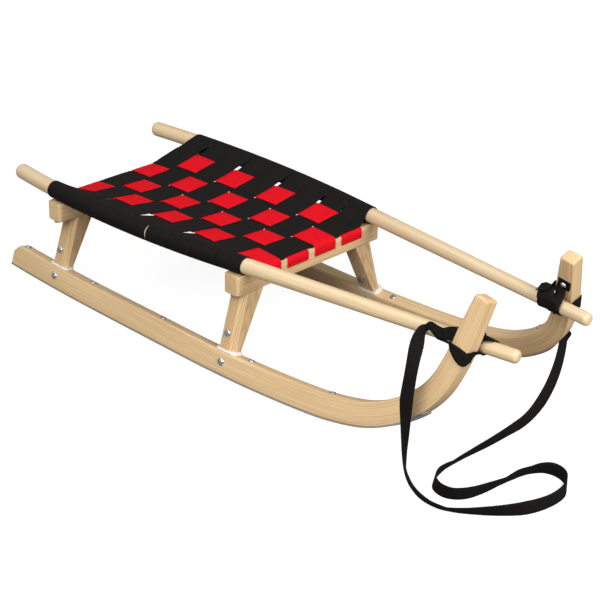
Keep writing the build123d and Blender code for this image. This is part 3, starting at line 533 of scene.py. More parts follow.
def new_group(name, inputs):
    """Shader node group with inputs of (name, kind, default) that puts out colour, roughness and height;
    gives its tree and its input and output nodes."""
    tree = bpy.data.node_groups.new(name, "ShaderNodeTree")
    for label, kind, default in inputs:
        item = tree.interface.new_socket(name=label, in_out="INPUT", socket_type=f"NodeSocket{kind}")
        item.default_value = default
    for label, kind in (("Color", "Color"), ("Roughness", "Float"), ("Height", "Float")):
        tree.interface.new_socket(name=label, in_out="OUTPUT", socket_type=f"NodeSocket{kind}")
    return tree, node(tree, "NodeGroupInput"), node(tree, "NodeGroupOutput")


def grain_group():
    """Node group of ash grain on a run coordinate (x along the fibre): growth bands whose phase wanders,
    broken streaks, thin dark pores in the bands and a slow drift. Arch turns flat bands into rings round
    a tilted heart, which a face cuts in arches. Puts out colour, roughness and height."""
    tree, start, end = new_group("ash_grain", (
        ("Vector", "Vector", (0, 0, 0)),
        ("Pale", "Color", (0.80, 0.60, 0.36, 1)),
        ("Band", "Color", (0.66, 0.44, 0.22, 1)),
        ("Arch", "Float", 0.0),
    ))
    calc = partial(math_node, tree)
    vector = start.outputs["Vector"]
    wander, streak, fibre, drift = (stretched_noise(tree, vector, *kind)
                                    for kind in (WANDER, STREAK, FIBRE, DRIFT))
    x, y, z = axis_values(tree, vector)
    flat = calc("MULTIPLY", calc("MULTIPLY_ADD", z, BAND_SKEW, y), BAND_RATE)
    heart = calc("ADD", z, calc("MULTIPLY_ADD", x, HEART_TILT, HEART_DEPTH))
    ring = calc("SQRT", calc("MULTIPLY_ADD", y, y, calc("MULTIPLY", heart, heart)))
    bent = calc("SUBTRACT", calc("MULTIPLY", ring, RING_RATE), flat)
    phase = calc("MULTIPLY_ADD", bent, start.outputs["Arch"], flat)
    phase = calc("MULTIPLY_ADD", wander, WANDER_PHASE, phase)
    band = calc("POWER", calc("ABSOLUTE", calc("SINE", phase)), BAND_SHARP)
    band = calc("MULTIPLY", band, calc("MULTIPLY", streak, STREAK_GAIN))
    pores = calc("MULTIPLY", calc("GREATER_THAN", fibre, PORE_FROM), band)
    share = calc("MULTIPLY_ADD", drift, DRIFT_GAIN, DRIFT_LOSS)
    share = calc("MULTIPLY_ADD", calc("SUBTRACT", streak, STREAK_MIDDLE), STREAK_GAIN, share)
    share = calc("MULTIPLY_ADD", band, BAND_SHARE, share)
    share = calc("MULTIPLY_ADD", pores, PORE_SHARE, share)
    feed(tree, end, {
        "Color": mix_colour(tree, share, start.outputs["Pale"], start.outputs["Band"]),
        "Roughness": calc("MULTIPLY_ADD", fibre, *WOOD_ROUGH),
        "Height": calc("SUBTRACT", fibre, calc("MULTIPLY", band, BAND_DENT)),
    })


def weave_group():
    """Node group of narrow webbing on a run coordinate in metres (x along, y across): ribs along the tape
    with a short offset step between picks, and painted shade darkening the colour in the low grooves. Puts
    out colour, roughness and height."""
    tree, start, end = new_group("webbing_weave", (
        ("Vector", "Vector", (0, 0, 0)),
        ("Thread", "Color", (0.02, 0.02, 0.022, 1)),
        ("Shade", "Color", (0.01, 0.01, 0.011, 1)),
    ))
    calc = partial(math_node, tree)
    vector = start.outputs["Vector"]
    x, y, _ = axis_values(tree, vector)
    ribs = calc("SINE", calc("MULTIPLY", y, 2 * np.pi / RIB_PITCH))
    offset = calc("MULTIPLY", calc("SIGN", ribs), PICK_OFFSET)
    picks = calc("SINE", calc("MULTIPLY_ADD", x, 2 * np.pi / PICK_PITCH, offset))
    height = calc("MULTIPLY_ADD", calc("ABSOLUTE", ribs), RIB_HEIGHT, calc("MULTIPLY", picks, PICK_HEIGHT))
    fuzz = noise(tree, vector, *FUZZ)
    share = calc("MULTIPLY_ADD", height, HEIGHT_SHARE, calc("MULTIPLY", fuzz, FUZZ_SHARE))
    feed(tree, end, {
        # painted shade: the colour falls towards the Shade colour in the grooves between the ribs
        "Color": mix_colour(tree, share, start.outputs["Shade"], start.outputs["Thread"]),
        "Roughness": calc("MULTIPLY_ADD", fuzz, *WEB_ROUGH),
        "Height": height,
    })


def new_material(name):
    """Node material, its tree and its Principled shader."""
    material = bpy.data.materials.new(name)
    material.use_nodes = True
    return material, material.node_tree, material.node_tree.nodes["Principled BSDF"]


def finish_material(tree, shader, group, inputs, bump_size):
    """Adds a node group with its inputs and links its colour, roughness and height into the shader."""
    source = node(tree, "ShaderNodeGroup", inputs, node_tree=bpy.data.node_groups[group]).outputs
    feed(tree, shader, {
        "Base Color": source["Color"],
        "Roughness": source["Roughness"],
        "Normal": bump(tree, source["Height"], *bump_size),
    })
    return source


def wood_material(name, pale, band, turn=None, centre=None):
    """Ash: grain on the piece's own grain attribute or, where a turn is given, on object coordinates
    turned so that x follows the fibre. A centre, in metres, gives arched grain about it."""
    material, tree, shader = new_material(name)
    if turn is None:
        place = node(tree, "ShaderNodeAttribute", attribute_name="grain").outputs["Vector"]
    else:
        place = object_place(tree)
        if centre is not None:
            shift = node(tree, "ShaderNodeVectorMath", {0: place, 1: centre}, operation="SUBTRACT")
            place = shift.outputs[0]
        place = node(tree, "ShaderNodeMapping", {"Vector": place, "Rotation": turn}).outputs[0]
    arch = 0.0 if centre is None else 1.0
    inputs = {"Vector": place, "Pale": (*pale, 1), "Band": (*band, 1), "Arch": arch}
    finish_material(tree, shader, "ash_grain", inputs, WOOD_BUMP)
    feed(tree, shader, {"Coat Weight": WOOD_COAT, "Coat Roughness": WOOD_COAT_ROUGH})
    return material


def darker(colour, share):
    """A share of a colour."""
    return tuple(c * share for c in colour)


def web_material(name, thread, shade, stitch=None):
    """Woven tape on the piece's own UV run. Shade is the share of the thread's colour painted as shade in
    the grooves between the threads, and stitch the share in a row of stitches across each end, where there
    is one."""
    material, tree, shader = new_material(name)
    place = node(tree, "ShaderNodeUVMap", uv_map="run").outputs[0]
    inputs = {"Vector": place, "Thread": (*thread, 1), "Shade": (*darker(thread, shade), 1)}
    weave = finish_material(tree, shader, "webbing_weave", inputs, WEB_BUMP)
    feed(tree, shader, {"Specular IOR Level": WEB_SPECULAR})
    if stitch:
        calc = partial(math_node, tree)
        seam = node(tree, "ShaderNodeAttribute", attribute_name="seam").outputs["Vector"]
        from_end, across, _ = axis_values(tree, seam)
        off = calc("ABSOLUTE", calc("SUBTRACT", from_end, STITCH_INSET))
        dash = calc("SINE", calc("MULTIPLY", across, 2 * np.pi / STITCH_PITCH))
        shown = calc("GREATER_THAN", dash, STITCH_GAP)
        line = calc("MULTIPLY", calc("LESS_THAN", off, STITCH_WIDTH / 2), shown)
        tone = mix_colour(tree, line, weave["Color"], (*darker(thread, stitch), 1))
        feed(tree, shader, {"Base Color": tone})
    return material


def steel_material(name, colour, rough):
    """Zinc or plain steel with fine scuffs on object coordinates."""
    material, tree, shader = new_material(name)
    scuff = noise(tree, object_place(tree), *STEEL_SCUFF)
    stops = zip(SCUFF_STOPS, (darker(colour, SCUFF_DARK), colour))
    feed(tree, shader, {
        "Base Color": ramp(tree, scuff, stops),
        "Roughness": math_node(tree, "MULTIPLY_ADD", scuff, SCUFF_ROUGH, rough),
        "Metallic": 1.0,
    })
    return material


def pad_material():
    """Pale pad with a faint mould grain."""
    material, tree, shader = new_material("pad_plastic")
    mould = noise(tree, object_place(tree), *PAD_MOULD)
    feed(tree, shader, {
        "Base Color": ramp(tree, mould, PAD_STOPS),
        "Normal": bump(tree, mould, *PAD_BUMP),
        "Roughness": PAD_ROUGH,
    })
    return material


def dress(mesh, material, body_slot, *nodes):
    """Makes a mesh a piece at the origin, smooth but for its many-sided end faces, gives it its
    material, hangs it on the root body and hides the solids that it stands for. body_slot is not used."""
    sides = np.empty(len(mesh.polygons), int)
    mesh.polygons.foreach_get("loop_total", sides)
    mesh.polygons.foreach_set("use_smooth", sides <= 4)
    mesh.update()
    mesh.materials.append(material)
    piece = bpy.data.objects.new(mesh.name, mesh)
    bpy.context.scene.collection.objects.link(piece)
    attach(piece, "root")
    if nodes:
        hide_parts(*nodes)
    return piece


def paint(names, material):
    """Gives solids that stay their material."""
    for name in names:
        NODES[name].data.materials.clear()
        NODES[name].data.materials.append(material)


class SledWood(bpy.types.PropertyGroup):
    """Colours of the ash pieces and the rounding of the horns."""

    pale: FloatVectorProperty(name="Pale wood", description="Colour between the growth bands",
                              subtype="COLOR", size=3, min=0, max=1, default=(0.78, 0.57, 0.325))
    band: FloatVectorProperty(name="Grain band", description="Colour of the growth bands",
                              subtype="COLOR", size=3, min=0, max=1, default=(0.54, 0.335, 0.145))
    rail_pale: FloatVectorProperty(name="Pale rail", description="Rail colour between the growth bands",
                                   subtype="COLOR", size=3, min=0, max=1, default=(0.73, 0.575, 0.37))
    rail_band: FloatVectorProperty(name="Rail band", description="Rail colour of the growth bands",
                                   subtype="COLOR", size=3, min=0, max=1, default=(0.61, 0.43, 0.225))
    leg_band: FloatVectorProperty(name="Leg band", description="Colour of the growth bands on the legs",
                                  subtype="COLOR", size=3, min=0, max=1, default=(0.48, 0.29, 0.125))
    horn_round: FloatProperty(name="Horn rounding", description="Eased edge of the horn top", unit="LENGTH",
                              min=0.001, max=0.008, default=0.0045)


class SledSeat(bpy.types.PropertyGroup):
    """Colours of the webbing."""

    red: FloatVectorProperty(name="Red thread", description="Colour of the long straps",
                             subtype="COLOR", size=3, min=0, max=1, default=(0.80, 0.0062, 0.016))
    black: FloatVectorProperty(name="Black thread", description="Colour of all the other webbing",
                               subtype="COLOR", size=3, min=0, max=1, default=(0.0125, 0.0108, 0.0102))


class SledStage(bpy.types.PropertyGroup):
    """Camera of the studio."""

    lens: FloatProperty(name="Lens", description="Focal length on a 36 mm frame",
                        min=20, max=300, default=99.33)
    azimuth: FloatProperty(name="Azimuth", description="Turn of the camera round the sled", subtype="ANGLE",
                           default=np.radians(43.984))
    elevation: FloatProperty(name="Elevation", description="Height angle of the camera", subtype="ANGLE",
                             default=np.radians(26.589))
    roll: FloatProperty(name="Roll", description="Roll of the camera about its view", subtype="ANGLE",
                        default=np.radians(1.481))
    place: FloatVectorProperty(name="Camera place", description="Position of the camera", unit="LENGTH",
                               subtype="TRANSLATION", size=3, default=(1.7931, -1.8391, 1.3569))


def runner_rows(ease):
    """Rows of the runner (x, v, slope, depth), and how far its faces draw in at each: a small bevel at
    the rear, close rows along the chamfer, the underside line, and a quarter turn of radius ease."""
    line = arc_stations()
    rear = line[:1]
    chamfer = np.linspace(RUNNER_REAR, RUNNER_REAR + REAR_CHAMFER, CHAMFER_STATIONS)[1:-1]
    body = line[line[:, 0] > RUNNER_REAR + REAR_CHAMFER - 1]
    rows = np.concatenate([rear, rear + [REAR_BEVEL, 0, 0, 0], rear_rows(chamfer), body[:-1]])
    angle = quarter(TIP_STATIONS)
    slope = body[-1, 2]
    back = ease * (1 - np.sin(angle))
    tip = body[-1] - back[:, None] * [np.cos(slope), np.sin(slope), 0, 0]
    inset = np.zeros(len(rows))
    inset[0] = REAR_BEVEL
    inset = np.concatenate([inset, ease * (1 - np.cos(angle)) * TIP_CLOSE])
    return np.concatenate([rows, tip]), inset


def runner_section(x, depth, inset):
    """The runner's section at each row, as outward places and depths above the strip line: a rectangle
    with a quarter turn at each corner, drawn in by the inset and cut lower along the rear chamfer."""
    outer, inner = -inset, inset - RUNNER_WIDTH
    low = STRIP_THICK + inset
    high = np.minimum(depth, RUNNER_DEPTH - REAR_CHAMFER + (x - RUNNER_REAR)) - inset
    w, d = [], []
    for face, inwards, level, upwards, radius, first in (
            (outer, -1, low, 1, LOW_EDGE, -90), (outer, -1, high, -1, TOP_EDGE, 0),
            (inner, 1, high, -1, TOP_EDGE, 90), (inner, 1, low, 1, LOW_EDGE, 180)):
        turn = np.radians(first) + quarter(CORNER_STATIONS)
        size = np.maximum(radius - inset * EDGE_LOSS, EDGE_LEAST)[:, None]
        w.append(face[:, None] + inwards * size + size * np.cos(turn))
        d.append(level[:, None] + upwards * size + size * np.sin(turn))
    return np.concatenate(w, 1), np.concatenate(d, 1)


class SLED_OT_runners(bpy.types.Operator):
    """Bent ash runners: a rounded rectangle carried along the underside line, grain along the bend"""

    bl_idname = "sled.runners"
    bl_label = "Runners"

    def execute(self, context):
        wood = context.scene.sled_wood
        rows, inset = runner_rows(wood.horn_round / MM)
        x, v, slope, depth = rows.T
        w, d = runner_section(x, depth, inset)
        px = x[:, None] - d * np.sin(slope)[:, None]
        pv = v[:, None] + d * np.cos(slope)[:, None]
        run = run_length(rows[:, :2])[:, None]
        along, across = RUNNER_GRAIN_SHIFT
        material = wood_material("ash_runner", wood.pale, wood.band)
        for side, name in SIDES:
            mesh = tube_mesh(f"runner_wood_{name}", side_points(px, pv, w, side), flip=side < 0)
            add_vector(mesh, "grain", run + side * along, d + side * across, w)
            dress(mesh, material, "ash_wood", f"runner_{name}")
        return {"FINISHED"}


class SLED_OT_rails(bpy.types.Operator):
    """Round rails: circles carried along the bowed and tapered centre line, closed by domes"""

    bl_idname = "sled.rails"
    bl_label = "Rails"

    def execute(self, context):
        turn = quarter(END_STATIONS)
        rear = RAIL_REAR_X + RAIL_REAR_DOME * (1 - np.sin(turn))[::-1]
        front = RAIL_FRONT_X - RAIL_FRONT_DOME * (1 - np.sin(turn))
        x = np.concatenate([rear, np.linspace(RAIL_REAR_X, RAIL_FRONT_X, RAIL_STATIONS)[2:-2], front])
        radius = rail_radius(x)
        radius[:END_STATIONS] -= RAIL_REAR_DOME * (1 - np.cos(turn))[::-1]
        radius[-END_STATIONS:] -= RAIL_FRONT_DOME * (1 - np.cos(turn))
        x[0] += RAIL_END_INSET
        x[-1] -= RAIL_END_INSET
        angle = full_turn(RAIL_SIDES)
        circle_y, circle_z = radius[:, None] * np.cos(angle), radius[:, None] * np.sin(angle)
        shift_along, shift_across = RAIL_GRAIN_SHIFT
        wood = context.scene.sled_wood
        material = wood_material("ash_rail", wood.rail_pale, wood.rail_band)
        for side, name in SIDES:
            line = np.stack([x, side * rail_y(x), rail_z(x)], 1)
            tangent = unit(np.gradient(line, axis=0))
            across = unit(np.cross(tangent, [0, 0, 1.0]))
            up = np.cross(across, tangent)
            rings = circle_y[..., None] * across[:, None] + circle_z[..., None] * up[:, None]
            mesh = tube_mesh(f"rail_wood_{name}", line[:, None] + rings, flip=True)
            run = run_length(line)[:, None]
            add_vector(mesh, "grain", run + side * shift_along, circle_y + side * shift_across, circle_z)
            dress(mesh, material, "ash_wood", f"rail_{name}")
        return {"FINISHED"}


def touch_angle(centre, radius, point, way):
    """Angle at which a line from a point touches a circle; way, 1 or -1, gives the side."""
    reach = point - centre
    return np.arctan2(reach[1], reach[0]) + way * np.arccos(radius / np.hypot(*reach))


def wrap_line(side, x, last):
    """End of a cross strap's line in the plane at x, as points (y, z) from the last point of its weave:
    tangent over the rail's top, arc round the rail, tangent to the flap below the strap, and the flap
    along the strap."""
    centre = np.array([side * rail_y(x), rail_z(x)])
    radius = rail_radius(x) + CLEAR + WEB_THICK / 2
    top = touch_angle(centre, radius, last, -side)
    touch = centre + radius * np.array([np.cos(top), np.sin(top)])
    ahead = unit(touch - last)
    drop = WEB_STEP * np.array([side * ahead[1], -side * ahead[0]])
    flap = last + FLAP_INSET * ahead + drop
    joint = last + FLAP_JOINT * (touch - last) + drop
    low = touch_angle(centre, radius, joint, side)
    span = (low - top) * -side % (2 * np.pi)
    angle = top - side * np.linspace(0, span, WRAP_STATIONS)
    arc = centre + radius * np.stack([np.cos(angle), np.sin(angle)], 1)
    over = last + (touch - last) * np.linspace(0, 1, OVER_STATIONS)[1:-1, None]
    share = np.linspace(0, 1, FLAP_SPAN_STATIONS)[1:, None]
    back = arc[-1] + (joint - arc[-1]) * share
    return np.concatenate([over, arc, back, joint + (flap - joint) * share])


def cross_line(row, x):
    """One cross strap's line in the plane at x, right flap to left flap, as points (y, z): the weave, as
    middle height plus or minus half a step, between the two ends wrapped round the rails."""
    edge = COL_WIDTH / 2 + CLEAR
    y = np.linspace(COLUMNS[0]["y"] - edge, COLUMNS[-1]["y"] + edge, ROW_STATIONS)
    places = np.array([-edge, -WEAVE_FLAT, WEAVE_FLAT, edge])
    knots_y, knots_z, steps = [], [], []
    for column in COLUMNS:
        height, slope = seat_shape(column, x)
        step = weave_step(column, x) - WEB_STEP * (1 if red_over(column, row) else -1)
        knots_y.append(column["y"] + places)
        knots_z.append(height + slope * places)
        steps.append(np.full(len(places), step))
    knots_y, knots_z, steps = (np.concatenate(values) for values in (knots_y, knots_z, steps))
    seat = smooth(np.interp(y, knots_y, knots_z), SEAT_SMOOTH)
    weave = np.stack([y, seat + smooth(np.interp(y, knots_y, steps), WEAVE_SMOOTH)], 1)
    return np.concatenate([wrap_line(-1, x, weave[0])[::-1], weave, wrap_line(1, x, weave[-1])])


def row_tuck(row, y):
    """How far a cross strap's edges reach under the next rows: a bell in each gap between two long straps,
    faded out towards the strap that the row passes over."""
    reach = np.zeros_like(y)
    for first, second in zip(COLUMNS, COLUMNS[1:]):
        off = y - (first["y"] + second["y"]) / 2
        low = 1 if red_over(second, row) else -1
        reach += ROW_TUCK * bell(off, TUCK_BELL) * (1 + np.tanh(low * off / TUCK_FADE)) / 2
    return reach


def row_draw(row, y):
    """How far forward the points of a cross strap's lines are moved: its edges reach under the next rows,
    draw in by a bell beside each rail and along the flaps, and part by a bell where a row does so."""
    depth, place, reach = ROW_PINCH
    station = np.arange(y.shape[1])
    station = np.minimum(station, station[::-1])
    pinch = depth * bell(np.abs(y) - place, reach) + FLAP_DRAW * np.interp(station, FLAP_STATIONS, (1, 0))
    draw = EDGE_PLACES[:, None] * (row_tuck(row, y) - pinch)
    if row in ROW_PARTING:
        depth, place, reach = ROW_PARTING[row]
        draw += depth * np.maximum(-EDGE_PLACES, 0)[:, None] * bell(y - place, reach)
    return draw


class SLED_OT_cross_straps(bpy.types.Operator):
    """Black cross straps: woven lines at several places across the width, wrapped round both rails"""

    bl_idname = "sled.cross_straps"
    bl_label = "Cross straps"

    def execute(self, context):
        material = web_material("black_webbing", context.scene.sled_seat.black, CROSS_SHADE)
        for row in range(1, ROW_COUNT + 1):
            xs = row_middle(row) + EDGE_PLACES * ROW_WIDTH / 2
            y, z = np.moveaxis(np.stack([cross_line(row, x) for x in xs]), -1, 0)
            lines = np.stack([xs[:, None] + row_draw(row, y), y, z], -1)
            mesh = tube_mesh(f"cross_strap_weave_{row}", sheet_rings(lines, WEB_THICK), flip=True)
            dress(mesh, material, "black_webbing", f"cross_strap_{row}")
        return {"FINISHED"}


def long_line(column, edge):
    """One long strap's line at an offset across it, rear hem to front hem, as points (x, z): up the bar
    face, a quarter turn, the weave as middle height plus or minus half a step, and down likewise."""
    x = np.linspace(SEAT_REAR, SEAT_FRONT - FRONT_TURN, COL_STATIONS)
    height, slope = seat_shape(column, x)
    weave = np.stack([x, height + slope * edge + weave_step(column, x)], 1)
    turn = quarter(HEM_STATIONS)
    ends = []
    for bar, sign, last in (("rear", -1, weave[0]), ("front", 1, weave[-1])):
        face = BAR_X[bar] + sign * (BAR_DEPTH / 2 + 2 * CLEAR + WEB_THICK / 2)
        if sign < 0:
            face = min(face, SEAT_REAR - 2 * CLEAR - WEB_THICK / 2)
        bend = min(HEM_BEND, abs(face - last[0]) * HEM_BEND_SHARE)
        arc = np.stack([face - sign * bend * (1 - np.sin(turn)), last[1] - bend * (1 - np.cos(turn))], 1)
        down = np.linspace(arc[-1, 1], BAR_TOP[bar] - HEM_DROP, HEM_STATIONS)[1:]
        ends.append(np.concatenate([arc, np.stack([np.full_like(down, face), down], 1)]))
    return np.concatenate([ends[0][::-1], weave, ends[1]])


class SLED_OT_long_straps(bpy.types.Operator):
    """Red long straps: woven lines at several places across the width, folded over both bars"""

    bl_idname = "sled.long_straps"
    bl_label = "Long straps"

    def execute(self, context):
        material = web_material("red_webbing", context.scene.sled_seat.red, LONG_SHADE, STITCH_SHADE)
        edges = EDGE_PLACES * COL_WIDTH / 2
        for column in COLUMNS:
            x, z = np.moveaxis(np.stack([long_line(column, edge) for edge in edges]), -1, 0)
            y = (column["y"] + edges)[:, None]
            rings = sheet_rings(np.stack(np.broadcast_arrays(x, y, z), -1), -WEB_THICK)
            mesh = tube_mesh(f"long_strap_weave_{column['name']}", rings)
            run = run_length(rings.mean(1))
            add_vector(mesh, "seam", np.minimum(run, run[-1] - run)[:, None], rings[..., 1], 0.0)
            dress(mesh, material, "red_webbing", f"long_strap_{column['name']}")
        return {"FINISHED"}


def horn_places(rows):
    """Side-frame places on a horn from rows of (run down from the horn top, depth behind its front, outward
    place): the run is found on the underside line, and depth is set off at right angles to it."""
    line = arc_stations()
    run = run_length(line[:, :2])
    down, depth, out = np.asarray(rows, float).T
    x, v, slope = (np.interp(run[-1] - down, run, line[:, k]) for k in range(3))
    return x - depth * np.sin(slope), v + depth * np.cos(slope), out


def horn_points(side, rows):
    """World points on a horn from rows of places on it."""
    return side_points(*horn_places(rows), side)


def rail_points(side, x, angle, lift):
    """World points round a rail at x, angle and lift: 0 degrees is outwards, 90 on top, 180 inside."""
    reach = rail_radius(x) + lift
    y = rail_y(x) + reach * np.cos(np.radians(angle))
    return np.stack([x, side * y, rail_z(x) + reach * np.sin(np.radians(angle))], 1)


def rail_band(side, rows):
    """Points of a band on a rail, the way it faces, out from the rail's centre line, and its widths."""
    x, angle, lift, width = np.array(rows, float).T
    points = rail_points(side, x, angle, lift + CLEAR + STRAP_THICK / 2)
    middle = rail_points(side, x, angle, -rail_radius(x))
    return points, unit(points - middle), width


def horn_band(side, rows, depth, out):
    """Points of a band on a horn, the way it faces there, out from a line at the given outward place and
    depth, or at each point's own depth where none is given, and its widths."""
    points = horn_points(side, [row[:3] for row in rows])
    inside = horn_points(side, [(row[0], row[1] if depth is None else depth, out) for row in rows])
    return points, unit(points - inside), np.array([row[3] for row in rows], float)


def band_mesh(name, centres, faces, widths):
    """Flat band through listed points: a Catmull-Rom line, its face turned smoothly along it."""
    line, normal, width = (through(values, BAND_STATIONS) for values in (centres, faces, widths[:, None]))
    return tube_mesh(name, ribbon_rings(line, unit(normal), width, STRAP_THICK))


# Lashings: places on the rail are (x, angle, lift, width) and on the horn (run below its top, depth,
# outward, width); the middles are the depth and outward place that a band on the horn faces away from
RAIL_BAND = {
    "right": ((432, -135, 0, 18), (430, -100, 0, 18), (427, -60, 0.3, 18), (423, -20, 0.6, 17),
              (418, 12, 1, 15), (411, 34, 1.6, 13)),
    "left": ((464, 262, 0, 25), (463, 225, 0, 25), (463, 190, 0, 26), (464.5, 160, 0.5, 29),
             (463.5, 135, 3, 29), (461.5, 110, 7, 27), (460, 88, 11, 25), (459, 66, 13, 24)),
}
WRAP_START = {
    "right": ((409, 34, 3.2, 13), (418, 26, 2.2, 14), (429, 24, 2.2, 18), (440, 38, 2.8, 21)),
    "left": ((447, 112, 10, 18), (456, 106, 13.5, 18)),
}
WRAP_REAR = {
    "right": ((72, 38.5, -17, 22), (80, 38.6, -7, 15), (87, 37.4, 0.8, 11)),
    "left": ((70, 38.6, -19, 16), (75, 38.8, -8, 15), (84, 37.4, 0.8, 13)),
}
WRAP_FACE = ((92, 31, 1.6, 14), (95, 20, 1.7, 19), (97, 9, 1.7, 22), (97, 1.6, 0.8, 22), (94, 0.6, -7, 20),
             (91, 0.4, -15, 17))
WRAP_END = ((485, -72, 0.6, 16), (487, -100, 0.3, 16), (488, -130, 0.3, 16))
TAIL_FACE = {
    "right": ((43, 18, -26.2, 21), (52, 16.5, -26.2, 21), (60, 11, -26.6, 21), (67, 5, -28.5, 21)),
    "left": ((42, 17, -26.2, 23), (52, 17.5, -26.3, 23), (61, 20, -27.6, 23)),
}
TAIL_WRAP = {
    "right": ((497, 115, 1.6, 21), (499, 145, 0.5, 21), (499, 180, 0, 21), (497, 215, 0, 21),
              (494, 250, 0, 20)),
    "left": ((486, 138, 4.5, 23), (484, 160, 1.0, 24), (483, 185, 0, 24), (484, 215, 0, 24),
             (486, 250, 0, 23)),
}
WRAP_MIDDLE = (18, -12.5)
TAIL_MIDDLE = (None, 0)


class SLED_OT_lashings(bpy.types.Operator):
    """Lashings: a band on each rail, one round the horn and over the rail, and a screwed tail"""

    bl_idname = "sled.lashings"
    bl_label = "Lashings"

    def execute(self, context):
        material = web_material("strap_webbing", context.scene.sled_seat.black, STRAP_SHADE)
        for side, name in SIDES:
            rail = partial(rail_band, side)
            horn = partial(horn_band, side)
            wrap = horn(WRAP_REAR[name] + WRAP_FACE, *WRAP_MIDDLE)
            runs = {
                "rail_band": (rail(RAIL_BAND[name]),),
                "horn_band": (rail(WRAP_START[name]), wrap, rail(WRAP_END)),
                "tail": (horn(TAIL_FACE[name], *TAIL_MIDDLE), rail(TAIL_WRAP[name])),
            }
            for label, pieces in runs.items():
                centres, faces, widths = (np.concatenate(column) for column in zip(*pieces))
                mesh = band_mesh(f"lashing_{label}_{name}", centres, faces, widths)
                solids = [f"lashing_{name}"] if label == "rail_band" else []
                dress(mesh, material, "strap_webbing", *solids)
        return {"FINISHED"}


# Tow strap route in millimetres: place, how the width stands there ("edge" is round the rail, "turn" the
# heading of a level width, "lean" the lean of an upright width) and the angle in degrees
TOW_ROUTE = (
    (424, -113.6, 212.6, "edge", 210), (412, -114.7, 213.2, "edge", 212), (404, -116, 216.5, "edge", 205),
    (401.5, -119, 215.5, "edge", 170), (400, -124, 213.5, "edge", 138), (401, -135, 213, "turn", -22),
    (408, -149, 210, "turn", -4), (418, -164, 204, "turn", 4), (426, -179, 189, "turn", 6),
    (431, -190, 168, "turn", 5), (433, -199, 128, "turn", -2), (432, -196, 84, "turn", 16),
    (430, -193, 46, "turn", 30), (437, -198, 18, "lean", 2), (458, -214, TOW_Z, "lean", 12),
    (492, -233, TOW_Z, "lean", 25), (524, -237, TOW_Z, "lean", 38), (549, -230, TOW_Z, "lean", 46),
    (574, -212, TOW_Z, "lean", 36), (605, -182, TOW_Z, "lean", 20), (630, -148, TOW_Z, "lean", 2),
    (643, -107, TOW_Z, "lean", 2), (641, -66, TOW_Z, "lean", -5), (622, -38, TOW_Z, "lean", 2),
    (598, -30, TOW_Z, "lean", -5), (578, -38, TOW_Z, "lean", -18), (567, -60, TOW_Z, "lean", -28),
    (561, -85, TOW_Z, "lean", -24), (559, -115, TOW_Z, "lean", -32), (554, -149, TOW_Z, "lean", -19),
    (546, -178, TOW_Z, "lean", -13), (531, -197, TOW_Z, "lean", -14), (511, -202, TOW_Z, "lean", -6),
    (490, -193, TOW_Z, "lean", 10), (477, -170, TOW_Z, "lean", 14), (473, -136, TOW_Z, "lean", 34),
    (473, -91, TOW_Z, "lean", 30), (476, -40, TOW_Z, "lean", 20), (475, 12, TOW_Z, "lean", 12),
    (474, 55, 14, "lean", 0), (473, 92, 31, "lean", -14), (469, 122, 54, "lean", -18),
    (464, 144, 82, "lean", -20), (456, 162, 110, "lean", -26), (451, 166.5, 130, "turn", 186),
    (451, 161, 152, "turn", 180), (454, 154, 178, "turn", 180), (457, 147, 200, "turn", 180),
)
TOW_GATHER = ((0, 30, 48, 78), (12, 14, 18, STRAP_WIDTH))   # run from the rail, and width gathered there


def route_points(control):
    """Points along the route's smooth spline, read from a curve without bevel."""
    curve = bpy.data.curves.new("tow_route", "CURVE")
    curve.dimensions = "3D"
    curve.resolution_u = ROUTE_STEPS
    spline = curve.splines.new("NURBS")
    spline.points.add(len(control) - 1)
    spline.points.foreach_set("co", np.column_stack([control * MM, np.ones(len(control))]).ravel())
    spline.order_u = 3
    spline.use_endpoint_u = True
    holder = bpy.data.objects.new("tow_route", curve)
    bpy.context.scene.collection.objects.link(holder)
    bpy.context.view_layer.update()
    mesh = bpy.data.meshes.new_from_object(holder.evaluated_get(bpy.context.evaluated_depsgraph_get()))
    points = np.empty(len(mesh.vertices) * 3)
    mesh.vertices.foreach_get("co", points)
    bpy.data.objects.remove(holder)
    bpy.data.curves.remove(curve)
    bpy.data.meshes.remove(mesh)
    return points.reshape(-1, 3) / MM


def strap_stand(control):
    """Direction of the strap's width at each route point: round the rail, along a level heading, or
    upright and leaning to the right of the run by the angle."""
    kind = np.array([row[3] for row in TOW_ROUTE])[:, None]
    angle = np.radians([row[4] for row in TOW_ROUTE])[:, None]
    tangent = unit(np.gradient(control, axis=0))
    right = unit(np.cross(tangent, [0, 0, 1.0]))
    lean = np.cos(angle) * np.cross(right, tangent) + np.sin(angle) * right
    heading = np.concatenate([np.cos(angle), -np.sin(angle), 0 * angle], 1)
    round_rail = np.concatenate([0 * angle, np.sin(angle), np.cos(angle)], 1)
    return unit(np.where(kind == "turn", heading, np.where(kind == "edge", round_rail, lean)))


